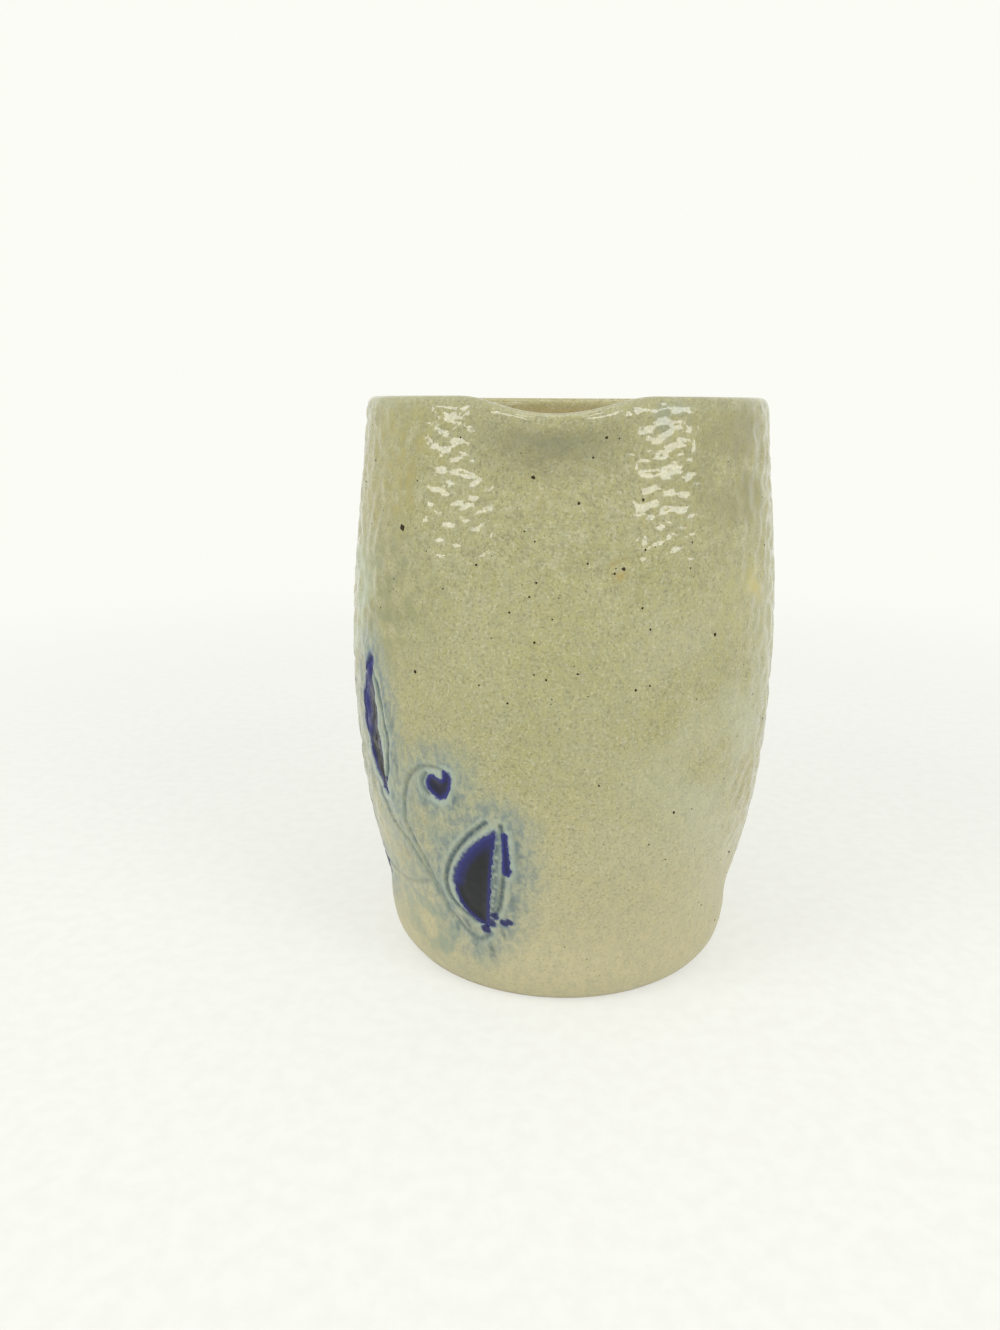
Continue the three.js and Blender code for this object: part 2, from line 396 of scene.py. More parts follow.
@dataclass(frozen=True)
class Cloud:
    """A cloudy pattern in a finish.

    Attributes:
        scale: Clouds a metre.
        detail: How many finer layers they have.
        start: The noise below which the pattern is at its low end.
        end: The noise above which it is at its high end.
        stretch: Scales along X, Y and Z, for clouds that aren't round.
        warp: How much the clouds are bent.
    """

    scale: float
    detail: float
    start: float = 0.3
    end: float = 0.7
    stretch: tuple[float, float, float] | None = None
    warp: float = 0.0

    def noise(self, sketch: NodeSketch) -> NodeSocket:
        """Draw the bare noise.

        Args:
            sketch: The node tree to draw in.

        Returns:
            The noise, about 0.5 on average.
        """
        place = sketch.where
        if self.stretch:
            mapping = sketch.add("ShaderNodeMapping", {"Vector": place, "Scale": self.stretch})
            place = mapping.outputs["Vector"]
        inputs = {"Vector": place, "Scale": self.scale, "Detail": self.detail, "Distortion": self.warp}
        return sketch.add("ShaderNodeTexNoise", inputs).outputs["Fac"]

    def drawn(self, sketch: NodeSketch, low: float = 0.0, high: float = 1.0) -> NodeSocket:
        """Draw the pattern, from its low end to its high one."""
        return sketch.span(self.noise(sketch), self.start, self.end, low, high)


@dataclass(frozen=True)
class Dots:
    """Small dots that are scattered in a glaze.

    Attributes:
        scale: Cells a metre, each with room for one dot.
        size: A dot's radius as a share of its cell.
        share: How many of the cells have a dot.
        tint: The dots' colour.
        strength: How strong it is.
        core: The share of its radius within which a dot is whole.
        lot_edge: How sharp the choice of cells is.
    """

    scale: float
    size: float
    share: float
    tint: Colour
    strength: float
    core: float = 0.45
    lot_edge: float = 0.01

    def drawn(self, sketch: NodeSketch) -> NodeSocket:
        """Draw the dots.

        Args:
            sketch: The node tree to draw in.

        Returns:
            1 in a dot and 0 elsewhere.
        """
        cells = sketch.add("ShaderNodeTexVoronoi", {"Vector": sketch.where, "Scale": self.scale}).outputs
        near = sketch.span(cells["Distance"], self.size, self.size * self.core)
        lot = sketch.add("ShaderNodeSeparateColor", {"Color": cells["Color"]}).outputs["Red"]
        return sketch.times(near, sketch.span(lot, 1 - self.share, 1 - self.share + self.lot_edge))


@dataclass(frozen=True)
class Stain:
    """A patch of colour on the glaze: mostly where iron, ash or thin slip coloured it, but some patches are
    painted light.

    Attributes:
        place: Its middle.
        reach: How far it runs out.
        tint: Its colour.
        share: How strong it is.
        blots: How many blots a metre it breaks into.
        detail: How many finer layers the blots have.
        blot_edge: The noise between which a blot's edge lies.
        core: The share of its reach within which it is whole.
    """

    place: tuple[float, float, float]
    reach: float
    tint: Colour
    share: float
    blots: float = 260.0
    detail: float = 3.0
    blot_edge: Span = (0.38, 0.62)
    core: float = 0.15

    def drawn(self, sketch: NodeSketch) -> NodeSocket:
        """Draw how strong the stain is.

        Args:
            sketch: The node tree to draw in.

        Returns:
            The strength, from 0 to the stain's share.
        """
        patches = Cloud(self.blots, self.detail, *self.blot_edge).drawn(sketch)
        near = sketch.span(sketch.distance(self.place), self.reach, self.reach * self.core)
        return sketch.times(sketch.times(near, patches), self.share)


@dataclass(frozen=True)
class SaltGlaze:
    """The clear, pebbled glaze that salt vapour leaves on grey clay, with what stains it and some painted
    light and shade.

    The mesh carries what the glaze follows: pebble, the strength of its orange peel; throat, painted shade
    in the hollow under the lip; groove, haze and stain, the cobalt in cut lines, about them and at the pools'
    edges; ridge, where it ran thin; inside and under, the two sides that the vapour hardly reached.

    A colour's _share is how strong it is. Where that is two numbers, they are the least share and how much
    more a pattern adds, and for mist and inner the shares at the two ends; inner's lower share deeper inside
    is painted shade. The pairs foot, _rise, _noise and _edge are the heights, the noise or the field between
    which something sets in.
    """

    name: str = "salt_glaze"
    warm: Colour = srgb(184, 170, 110)
    pale: Colour = srgb(207, 196, 154)
    green: Colour = srgb(175, 169, 112)
    grey: Colour = srgb(180, 176, 125)
    valley: Colour = srgb(112, 101, 56)
    crest: Colour = srgb(215, 212, 182)
    speck: Colour = srgb(70, 52, 26)
    rust: Colour = srgb(150, 110, 56)
    inner: Colour = srgb(200, 180, 130)
    bare: Colour = srgb(186, 164, 128)
    thin: Colour = srgb(170, 186, 174)
    bleed: Colour = srgb(88, 104, 138)
    shadow: Colour = srgb(134, 131, 94)
    line: Colour = srgb(58, 82, 92)
    cobalt: Colour = srgb(28, 33, 88)
    wash: Colour = srgb(160, 173, 156)
    cloud: Colour = srgb(92, 116, 130)
    dots: tuple[Dots, ...] = (
        Dots(900.0, 0.11, 0.40, speck, 0.8),
        Dots(480.0, 0.08, 0.34, speck, 0.8),
        # painted glints: pale sparkle dots in the crest colour
        Dots(620.0, 0.12, 0.16, crest, 0.7),
        Dots(760.0, 0.16, 0.22, rust, 0.5),
    )
    stains: tuple[Stain, ...] = (
        Stain((0.0345, -0.0208, 0.0772), 0.0050, srgb(208, 188, 92), 0.75),
        Stain((0.0310, -0.0262, 0.0745), 0.0080, srgb(202, 188, 108), 0.40),
        Stain((0.0108, -0.0387, 0.0814), 0.0028, srgb(178, 150, 62), 0.80, 340.0),
        Stain((-0.0268, -0.0278, 0.0960), 0.0180, srgb(172, 158, 84), 0.75),
        Stain((0.0183, -0.0331, 0.1045), 0.0050, srgb(146, 156, 136), 0.60),
        Stain((-0.0267, -0.0278, 0.0260), 0.0035, srgb(178, 154, 106), 0.55),
        Stain((0.0324, -0.0226, 0.0969), 0.0200, srgb(150, 142, 92), 0.80, 120.0),
        Stain((-0.0300, -0.0272, 0.0740), 0.0190, srgb(140, 140, 88), 0.75, 300.0),
        Stain((0.0395, -0.0080, 0.0740), 0.0320, srgb(172, 164, 96), 0.60, 120.0),
        Stain((-0.0264, -0.0252, 0.0169), 0.0170, srgb(158, 168, 142), 0.70, 200.0),
        Stain((-0.0288, -0.0270, 0.0352), 0.0150, srgb(164, 174, 150), 0.60, 200.0),
        Stain((-0.0181, -0.0302, 0.0120), 0.0130, srgb(142, 157, 136), 0.80, 200.0),
        Stain((-0.0203, -0.0339, 0.0360), 0.0100, srgb(142, 158, 140), 0.60, 200.0),
        # painted reflection: a pale blue-green sheen at the pot's left edge
        Stain((-0.0385, -0.0140, 0.0720), 0.0190, srgb(192, 208, 180), 0.60, 160.0),
        # painted light: a paler patch low on the pot's right, where more light falls
        Stain((0.0325, -0.0254, 0.0480), 0.0400, srgb(204, 204, 174), 0.45, 60.0),
    )
    pebbles: Cloud = Cloud(620.0, 1.0, stretch=(0.8, 0.8, 1.0), warp=0.2)
    mottle: Cloud = Cloud(90.0, 4.0, warp=0.6)
    drift: Cloud = Cloud(45.0, 3.0)
    light: Cloud = Cloud(2400.0, 2.0, 0.50, 0.72)
    dark: Cloud = Cloud(2100.0, 2.0, 0.50, 0.70, warp=0.4)
    streaks: Cloud = Cloud(620.0, 5.0, 0.33, 0.68, (1.3, 1.3, 0.8), 0.6)
    beads: Cloud = Cloud(1500.0, 3.0, 0.36, 0.62, (1.1, 1.1, 0.8))
    fine: Cloud = Cloud(3200.0, 2.0)
    skin: Cloud = Cloud(900.0, 3.0)
    prickle: Cloud = Cloud(1900.0, 2.0)
    foot: Span = (0.055, 0.004)
    grain_rise: Span = (0.004, 0.034)
    foot_grain: float = 0.4
    valley_noise: Span = (0.50, 0.30)
    crest_noise: Span = (0.52, 0.72)
    drift_share: float = 0.45
    foot_share: float = 0.85
    pebble_share: float = 0.2
    light_share: float = 0.5
    dark_share: float = 0.46
    throat_shade_share: float = 0.66
    wash_share: float = 0.7
    mist_share: Span = (0.85, 0.25)
    thin_share: Span = (0.30, 0.45)
    line_share: Span = (0.65, 0.30)
    fringe_share: Span = (0.6, 0.8)
    fringe_edge: Span = (0.08, 0.75)
    fringe_strength: float = 0.8
    core_stray: float = 0.2
    core_edge: Span = (0.50, 0.95)
    # painted shade: inner_rise and inner_share make the inside darker further down
    inner_rise: Span = (0.050, 0.100)
    inner_share: Span = (0.50, 0.95)
    gloss_pebble: Span = (0.2, 0.9)
    gloss: Span = (0.40, 0.06)
    skin_rough: float = 0.06
    bare_rough: float = 0.5
    peel_depth: float = 0.00012
    prickle_depth: float = 0.000008

    def _ground(self, sketch: NodeSketch, pebbles: NodeSocket) -> NodeSocket:
        """Colour the glaze itself, before any cobalt.

        Args:
            sketch: The node tree to draw in.
            pebbles: The fine pebbling, about 0.5 on average.

        Returns:
            The colour.
        """
        height, strength = sketch.height(), sketch.field("pebble")
        colour = sketch.mix(self.mottle.drawn(sketch), self.green, self.grey)
        grain = sketch.span(height, *self.grain_rise, self.foot_grain, 1.0)
        deep = sketch.times(sketch.span(pebbles, *self.valley_noise), strength)
        high = sketch.times(sketch.span(pebbles, *self.crest_noise), strength)
        layers = (
            (self.drift.drawn(sketch), self.drift_share, self.warm),
            (sketch.span(height, *self.foot), self.foot_share, self.pale),
            (deep, self.pebble_share, self.valley),
            (high, self.pebble_share, self.crest),
            (sketch.times(self.light.drawn(sketch), grain), self.light_share, self.crest),
            (sketch.times(self.dark.drawn(sketch), grain), self.dark_share, self.valley),
            *((dot.drawn(sketch), dot.strength, dot.tint) for dot in self.dots),
            # painted shade: the shadow colour in the hollow under the lip
            (sketch.field("throat"), self.throat_shade_share, self.shadow),
        )
        for pattern, share, tint in layers:
            colour = sketch.mix(sketch.times(pattern, share), colour, tint)
        return colour

    def _cobalt(self, sketch: NodeSketch, colour: NodeSocket) -> NodeSocket:
        """Lay the cobalt of the sprig over the glaze.

        Args:
            sketch: The node tree to draw in.
            colour: The colour under it.

        Returns:
            The coloured glaze.
        """
        beads, fine = self.beads.drawn(sketch), self.fine.noise(sketch)
        ridge, haze, stain = sketch.field("ridge"), sketch.field("haze"), sketch.field("stain")
        colour = sketch.mix(sketch.times(haze, self.wash_share), colour, self.wash)
        mist = sketch.times(haze, self.streaks.drawn(sketch))
        mist = sketch.times(mist, sketch.span(ridge, 0.0, 1.0, *self.mist_share))
        colour = sketch.mix(mist, colour, self.cloud)
        colour = sketch.mix(sketch.times(ridge, sketch.vary(beads, *self.thin_share)), colour, self.thin)
        cut = sketch.times(sketch.field("groove"), sketch.vary(beads, *self.line_share))
        colour = sketch.mix(cut, colour, self.line)
        fringe = sketch.times(stain, sketch.vary(fine, *self.fringe_share))
        blue = sketch.times(sketch.span(fringe, *self.fringe_edge), self.fringe_strength)
        colour = sketch.mix(blue, colour, self.bleed)
        core = sketch.plus(stain, sketch.vary(fine, -self.core_stray / 2, self.core_stray))
        return sketch.mix(sketch.span(core, *self.core_edge), colour, self.cobalt)

    def material(self) -> Material:
        """Make the glaze's material.

        Returns:
            The material.
        """
        sketch = NodeSketch(bpy.data.materials.new(self.name))
        pebbles, strength = self.pebbles.noise(sketch), sketch.field("pebble")
        colour = self._ground(sketch, pebbles)
        for stain in self.stains:
            colour = sketch.mix(stain.drawn(sketch), colour, stain.tint)
        # painted shade: the inside colour is darker further down
        lit = sketch.span(sketch.height(), *self.inner_rise, *self.inner_share)
        colour = sketch.mix(sketch.times(sketch.field("inside"), lit), colour, self.inner)
        under = sketch.field("under")
        colour = self._cobalt(sketch, sketch.mix(under, colour, self.bare))
        rough = sketch.span(strength, *self.gloss_pebble, *self.gloss)
        rough = sketch.plus(rough, sketch.times(self.skin.noise(sketch), self.skin_rough))
        rough = sketch.plus(rough, sketch.times(under, self.bare_rough))
        peel = sketch.bump(sketch.times(pebbles, strength), self.peel_depth)
        normal = sketch.bump(self.prickle.noise(sketch), self.prickle_depth, below=peel)
        return sketch.close(Base_Color=colour, Roughness=rough, Normal=normal)


@dataclass(frozen=True)
class CobaltGlass:
    """Cobalt slip that the salt melted to a dark glass, bluer where it is thin at the edge."""

    name: str = "cobalt_glass"
    deep: Colour = srgb(14, 18, 23)
    blue: Colour = srgb(29, 31, 102)
    light: Colour = srgb(48, 54, 126)
    stray: Cloud = Cloud(1600.0, 3.0)
    stray_reach: float = 0.22
    blue_depth: Span = (-0.05, 0.25)
    deep_depth: Span = (0.15, 0.95)
    polish: Cloud = Cloud(700.0, 3.0)
    gloss: Span = (0.12, 0.26)
    swirl: Cloud = Cloud(600.0, 2.0)
    swirl_depth: float = 0.00002
    specular: float = 0.4

    def material(self) -> Material:
        """Make the glass's material, which follows each point's depth in the pool.

        Returns:
            The material.
        """
        sketch = NodeSketch(bpy.data.materials.new(self.name))
        stray = sketch.vary(self.stray.noise(sketch), -self.stray_reach / 2, self.stray_reach)
        ragged = sketch.plus(sketch.field("depth"), stray)
        colour = sketch.mix(sketch.span(ragged, *self.blue_depth), self.light, self.blue)
        colour = sketch.mix(sketch.span(ragged, *self.deep_depth), colour, self.deep)
        rough = self.polish.drawn(sketch, *self.gloss)
        normal = sketch.bump(self.swirl.noise(sketch), self.swirl_depth)
        return sketch.close(Base_Color=colour, Roughness=rough, Normal=normal,
                            Specular_IOR_Level=self.specular)


@dataclass(frozen=True)
class IronSpot:
    """A grain of iron in the clay that melted through the glaze."""

    name: str = "iron_spot"
    core: Colour = srgb(24, 20, 8)
    edge: Colour = srgb(62, 50, 22)
    grain: Cloud = Cloud(3000.0, 3.0, 0.35, 0.65)
    polish: Cloud = Cloud(2000.0, 2.0)
    gloss: Span = (0.45, 0.65)
    crust: Cloud = Cloud(4000.0, 2.0)
    crust_depth: float = 0.00002
    specular: float = 0.2

    def material(self) -> Material:
        """Make the spot's material.

        Returns:
            The material.
        """
        sketch = NodeSketch(bpy.data.materials.new(self.name))
        colour = sketch.mix(self.grain.drawn(sketch), self.core, self.edge)
        rough = self.polish.drawn(sketch, *self.gloss)
        normal = sketch.bump(self.crust.noise(sketch), self.crust_depth)
        return sketch.close(Base_Color=colour, Roughness=rough, Normal=normal,
                            Specular_IOR_Level=self.specular)


def make_piece(name: str, points: Array, faces: Sequence[Sequence[int]], material: Material,
               fields: Mapping[str, Array] | None = None) -> Object:
    """Make a smooth mesh piece.

    Args:
        name: The piece's name.
        points: Its points, one a row.
        faces: The corners of each face.
        material: Its material.
        fields: Numbers that its points carry for the material.

    Returns:
        The piece.
    """
    mesh = bpy.data.meshes.new(name)
    mesh.from_pydata(points.tolist(), [], faces)
    mesh.validate()
    mesh.polygons.foreach_set("use_smooth", np.ones(len(mesh.polygons), bool))
    for key, values in (fields or {}).items():
        mesh.attributes.new(key, "FLOAT", "POINT").data.foreach_set("value", values.astype(np.float32))
    mesh.materials.append(material)
    piece = bpy.data.objects.new(name, mesh)
    bpy.context.scene.collection.objects.link(piece)
    return piece


def hand_over(piece: Object, slot: str, *nodes: str) -> None:
    """Put a piece on the pot's body and report it.

    Args:
        piece: The piece.
        slot: The record's material slot that it takes its finish from; not used.
        nodes: The solids that it stands for.
    """
    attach(piece, BODY)
    if nodes:
        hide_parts(*nodes)
    log.info("%s: %d points, stands for %s", piece.name, len(piece.data.vertices), ", ".join(nodes) or "none")


class Zone(Enum):
    """The stretches of the pot's half section, from the middle of the foot to the middle of the inside."""

    UNDERSIDE = 0
    OUTSIDE = 1
    RIM = 2
    INSIDE = 3


@dataclass(frozen=True)
class WallProfile:
    """The half section of the thrown pot, as points of radius and height.

    The heel's four heights say where its softening starts, is whole, starts to end and has ended. A softness
    counts the samples to each side that are averaged.
    """

    height: float
    belly_radius: float
    foot_radius: float = 0.0320
    bevel_height: float = 0.0070
    band_radius: float = 0.0352
    band_top: float = 0.0135
    belly_height: float = 0.0590
    rim_radius: float = 0.0376
    heel_flare: float = 0.0042
    heel_rise: float = 0.0130
    belly_drop: float = 0.0200
    belly_rise: float = 0.0180
    rim_lean: float = 0.0012
    rim_drop: float = 0.0160
    wall: float = 0.0045
    rim_wall: float = 0.0034
    rim_round: float = 0.0024
    floor: float = 0.0065
    floor_flat: float = 0.0220
    floor_turn: float = 0.0100
    inside_drop: float = 0.0290
    sample: float = 0.0001
    bend_steps: int = 80
    bevel_steps: int = 20
    rim_steps: int = 24
    edge_softness: int = 7
    heel_softness: int = 26
    heel: tuple[float, float, float, float] = (0.002, 0.006, 0.024, 0.038)

    def _bend(self, inset: float, rim_inset: float, rounding: float) -> Array:
        """Draw the wall from the belly up to the rim's rounding.

        Args:
            inset: How far the line lies inside the outside at the belly.
            rim_inset: How far it does at the rim.
            rounding: How far below the top the rim's rounding starts.

        Returns:
            The line's points.
        """
        rim_height = self.height - rounding
        belly = self.belly_radius - inset
        rim = self.rim_radius - rim_inset
        return bezier([(belly, self.belly_height), (belly, self.belly_height + self.belly_rise),
                       (rim + self.rim_lean, rim_height - self.rim_drop), (rim, rim_height)], self.bend_steps)

    def _stretches(self) -> dict[Zone, Array]:
        """Draw each stretch of the section.

        Returns:
            The points of each stretch.
        """
        bevel = bezier([(self.foot_radius, 0.0), (self.band_radius, self.bevel_height / 2),
                        (self.band_radius, self.bevel_height)], self.bevel_steps)
        lower = bezier([(self.band_radius, self.band_top),
                        (self.band_radius + self.heel_flare, self.band_top + self.heel_rise),
                        (self.belly_radius, self.belly_height - self.belly_drop),
                        (self.belly_radius, self.belly_height)], self.bend_steps)
        turn = np.linspace(0.0, math.pi, self.rim_steps + 1)
        roll = self.rim_wall / 2
        drop = np.where(turn < math.pi / 2, self.rim_round, roll)
        rim = np.column_stack([self.rim_radius - roll + roll * np.cos(turn),
                               self.height - drop + drop * np.sin(turn)])
        inner_belly = self.belly_radius - self.wall
        bowl = bezier([(inner_belly, self.belly_height), (inner_belly, self.belly_height - self.inside_drop),
                       (self.floor_flat + self.floor_turn, self.floor), (self.floor_flat, self.floor)],
                      self.bend_steps)
        inner_top = self._bend(self.wall, self.rim_wall, roll)[::-1]
        return {
            Zone.UNDERSIDE: np.array([(0.0, 0.0), (self.foot_radius, 0.0)]),
            Zone.OUTSIDE: np.vstack([bevel, lower, self._bend(0.0, 0.0, self.rim_round)[1:]]),
            Zone.RIM: rim,
            Zone.INSIDE: np.vstack([inner_top, bowl[1:], [(0.0, self.floor)]]),
        }

    def section(self) -> tuple[Array, Array]:
        """Draw the whole section finely, with its corners rounded as the fingers left them.

        Returns:
            The points, and the number of the zone that each is in.
        """
        lines, zones = [], []
        for zone, line in self._stretches().items():
            even = even_steps(line, self.sample)
            lines.append(even[1:] if lines else even)
            zones.append(np.full(len(lines[-1]), zone.value))
        zone = np.concatenate(zones)
        points = self._softened(np.vstack(lines), self.edge_softness)
        heel = ease(points[:, 1], *self.heel[:2]) * ease(points[:, 1], *self.heel[:1:-1])
        heel = np.where(zone == Zone.OUTSIDE.value, heel, 0.0)[:, None]
        return points + heel * (self._softened(points, self.heel_softness) - points), zone

    @staticmethod
    def _softened(line: Array, reach: int) -> Array:
        """Round a line's corners, with its two ends kept.

        Args:
            line: The line's points.
            reach: How many points to each side are averaged.

        Returns:
            The softer line.
        """
        window = 2 * reach + 1
        for _ in range(2):
            wide = np.pad(line, ((reach, reach), (0, 0)), mode="edge")
            total = np.cumsum(np.vstack([np.zeros((1, 2)), wide]), axis=0)
            soft = (total[window:] - total[:-window]) / window
            soft[0], soft[-1] = line[0], line[-1]
            line = soft
        return line

    @cached_property
    def outside(self) -> Array:
        """The outside's points, from the foot's edge up to the rim."""
        points, zones = self.section()
        return points[zones == Zone.OUTSIDE.value]

    def radius_at(self, height: Array) -> Array:
        """Give the outside radius at heights."""
        return np.interp(height, self.outside[:, 1], self.outside[:, 0])


@dataclass(frozen=True)
class PouringLip:
    """The stretch of rim that a finger drew out and down.

    Attributes:
        profile: The pot's half section.
        width: How wide the lip is.
        reach: How far it is drawn out.
        dip: How far it is drawn down.
        throat: How far below the rim the wall starts to lean out.
        roll: The share of that over which the wall turns upright again under the edge.
        shade_width: The width of the painted shade in the hollow under it, as a share of the lip's.
        shade_start: How far below the rim the painted shade sets in.
        shade_turn: How far below the rim it starts to end.
    """

    profile: WallProfile
    width: float = 0.0340
    reach: float = 0.0051
    dip: float = 0.0026
    throat: float = 0.0150
    roll: float = 0.3
    shade_width: float = 0.32
    shade_start: Span = (0.0015, 0.0050)
    shade_turn: float = 0.0055

    def draw_out(self, angle: Array, radius: Array,
                 height: Array) -> tuple[Array, Array]:
        """Move points of the wall as the finger did.

        Args:
            angle: The points' angles from the lip, in radians from -pi to pi.
            radius: Their radii.
            height: Their heights.

        Returns:
            The new radii and heights.
        """
        across = np.clip(np.abs(angle) * self.profile.rim_radius / (self.width / 2), 0.0, 1.0)
        depth = np.clip((self.profile.height - height) / self.throat, 0.0, 1.0)
        lean = np.maximum(1.0 - np.hypot(depth, self.roll), 0.0) / (1.0 - self.roll)
        pull = (np.cos(across * math.pi / 2) * lean) ** 2
        return radius + self.reach * pull, height - self.dip * pull

    def shade(self, angle: Array, height: Array) -> Array:
        """Say how strongly shade is painted in the hollow under the lip.

        Args:
            angle: The points' angles from the lip, in radians.
            height: Their heights.

        Returns:
            The thickness, from 0 to 1.
        """
        below = self.profile.height - height
        across = bell(angle * self.profile.rim_radius, self.shade_width * self.width)
        return across * ease(below, *self.shade_start) * ease(below, self.throat, self.shade_turn)


class PoolShape(Enum):
    """The outlines that the sprig's pools have."""

    BOWED = "bowed"
    POINTED = "pointed"
    CURLED = "curled"
    BAR = "bar"


CURL = ((-1.083, 0.042), (-0.833, 0.500), (-0.354, 0.604), (0.000, 0.417), (0.375, 0.417), (0.542, 0.792),
        (0.521, 1.104), (0.958, 1.042), (1.083, 0.542), (0.979, -0.042), (0.667, -0.667), (0.083, -1.083),
        (-0.604, -0.771), (-1.020, -0.354))
CURL_HEART = (0.62, -0.08)
CURL_STEPS = 6
BOW_STEPS = 40
BOW_PULL = 4 / 3
BOW_LOW = 1 / 3
BOW_HIGH = 1 / 5
POINT_STEPS = 20
BAR_CORNERS = 48
BAR_WAIST = 0.66
BAR_TAPER = 0.22


@dataclass(frozen=True)
class CobaltPool:
    """One pool of cobalt in the sprig.

    Attributes:
        node: The solid that it stands for.
        shape: Its outline.
        angle: Its place round the pot.
        middle: The height of its middle.
        width: Its width.
        height: Its height.
        lean: How far its top leans to the right.
        shift: How far its middle lies to the right of its place.
        mirrored: Whether it is on the sprig's left side.
        thin_from: The share of the outline after which the cobalt is thin and blue at it, 0 for all round.
        fade: How far from there the glass is blue.
        deepest: How dark its glass gets, from 0 to 1.
        swell: How far its glass bulges.
        bleed: How far its cobalt ran out into the wall's glaze on its thin side.
        top_fade: How far below its top the glass is blue.
    """

    node: str
    shape: PoolShape
    angle: float
    middle: float
    width: float
    height: float
    lean: float = 0.0
    shift: float = 0.0
    mirrored: bool = False
    thin_from: float = 0.0
    fade: float = 0.0011
    deepest: float = 1.0
    swell: float = 0.0
    bleed: float = 0.0008
    top_fade: float = 0.0

    def outline(self) -> Array:
        """Draw the outline as seen from straight in front of it.

        Returns:
            Its corners, to the right and up from its place.
        """
        edge, half, lean = self.width / 2, self.height / 2, self.lean / 2
        if self.shape is PoolShape.BOWED:
            bow = edge - self.width * BOW_PULL
            points = bezier([(edge - lean, -half), (bow - lean, -self.height * BOW_LOW),
                             (bow + lean, self.height * BOW_HIGH), (edge + lean, half)], BOW_STEPS)
        elif self.shape is PoolShape.POINTED:
            right = bezier([(0.0, -half), (self.width, 0.0), (0.0, half)], POINT_STEPS)
            points = np.vstack([right[:-1], right[:0:-1] * (-1.0, 1.0)])
        elif self.shape is PoolShape.CURLED:
            drawn = curve_through(CURL[-2:] + CURL + CURL[:2], CURL_STEPS)
            points = drawn[2 * CURL_STEPS:(2 + len(CURL)) * CURL_STEPS] * edge
        else:
            straight = half - edge
            turn = np.linspace(0.0, math.tau, BAR_CORNERS, endpoint=False)
            points = np.column_stack([edge * np.cos(turn), edge * np.sin(turn)])
            points[:, 1] += np.where(np.sin(turn) >= 0, straight, -straight)
            points[:, 0] *= BAR_WAIST - BAR_TAPER * points[:, 1] / half
        points = points + (self.shift, 0.0)
        return points * (-1.0, 1.0) if self.mirrored else points

    def shore(self) -> Array:
        """Draw the part of the outline where the cobalt is thin.

        Returns:
            The points of that line.
        """
        outline = self.outline()
        if self.thin_from:
            return outline[round(self.thin_from * len(outline)):]
        return np.vstack([outline, outline[:1]])

    def heart(self) -> Array:
        """Find a point that sees the whole outline.

        Returns:
            The point, to the right and up from the pool's place.
        """
        if self.shape is not PoolShape.CURLED:
            return self.outline().mean(0)
        across, up = CURL_HEART
        return np.array([-across if self.mirrored else across, up]) * self.width / 2

    def local(self, angle: Array, height: Array, radius: Array) -> Array:
        """Give points of the wall as seen from straight in front of the pool.

        Args:
            angle: The points' angles, in radians.
            height: Their heights.
            radius: The wall's radius at each.

        Returns:
            One row a point, to the right and up from the pool's place.
        """
        off = angle - math.radians(self.angle)
        across = np.where(np.cos(off) > 0, radius * np.sin(off), 1.0)
        return np.column_stack([across, height - self.middle])

    def gap(self, angle: Array, height: Array, radius: Array, reach: float) -> Array:
        """Measure how far points of the wall lie outside the outline, below 0 inside it.

        Args:
            angle: The points' angles, in radians.
            height: Their heights.
            radius: The wall's radius at each.
            reach: The distance past which the exact number doesn't matter.

        Returns:
            The distances.
        """
        outline = self.outline()
        place = self.local(angle, height, radius)
        gap = distance_to_line(place, np.vstack([outline, outline[:1]]), reach)
        near = np.flatnonzero(gap < reach)
        gap[near] *= np.where(inside_outline(place[near], outline), -1.0, 1.0)
        return gap


@dataclass(frozen=True)
class CutLine:
    """One line that the potter cut into the damp wall.

    Attributes:
        points: Its points, as degrees from the sprig's middle line and height.
        width: How wide the cut is.
        depth: How deep it is.
        cobalt: How much cobalt ran into it.
    """

    points: tuple
    width: float = 0.0007
    depth: float = 0.00042
    cobalt: float = 1.0


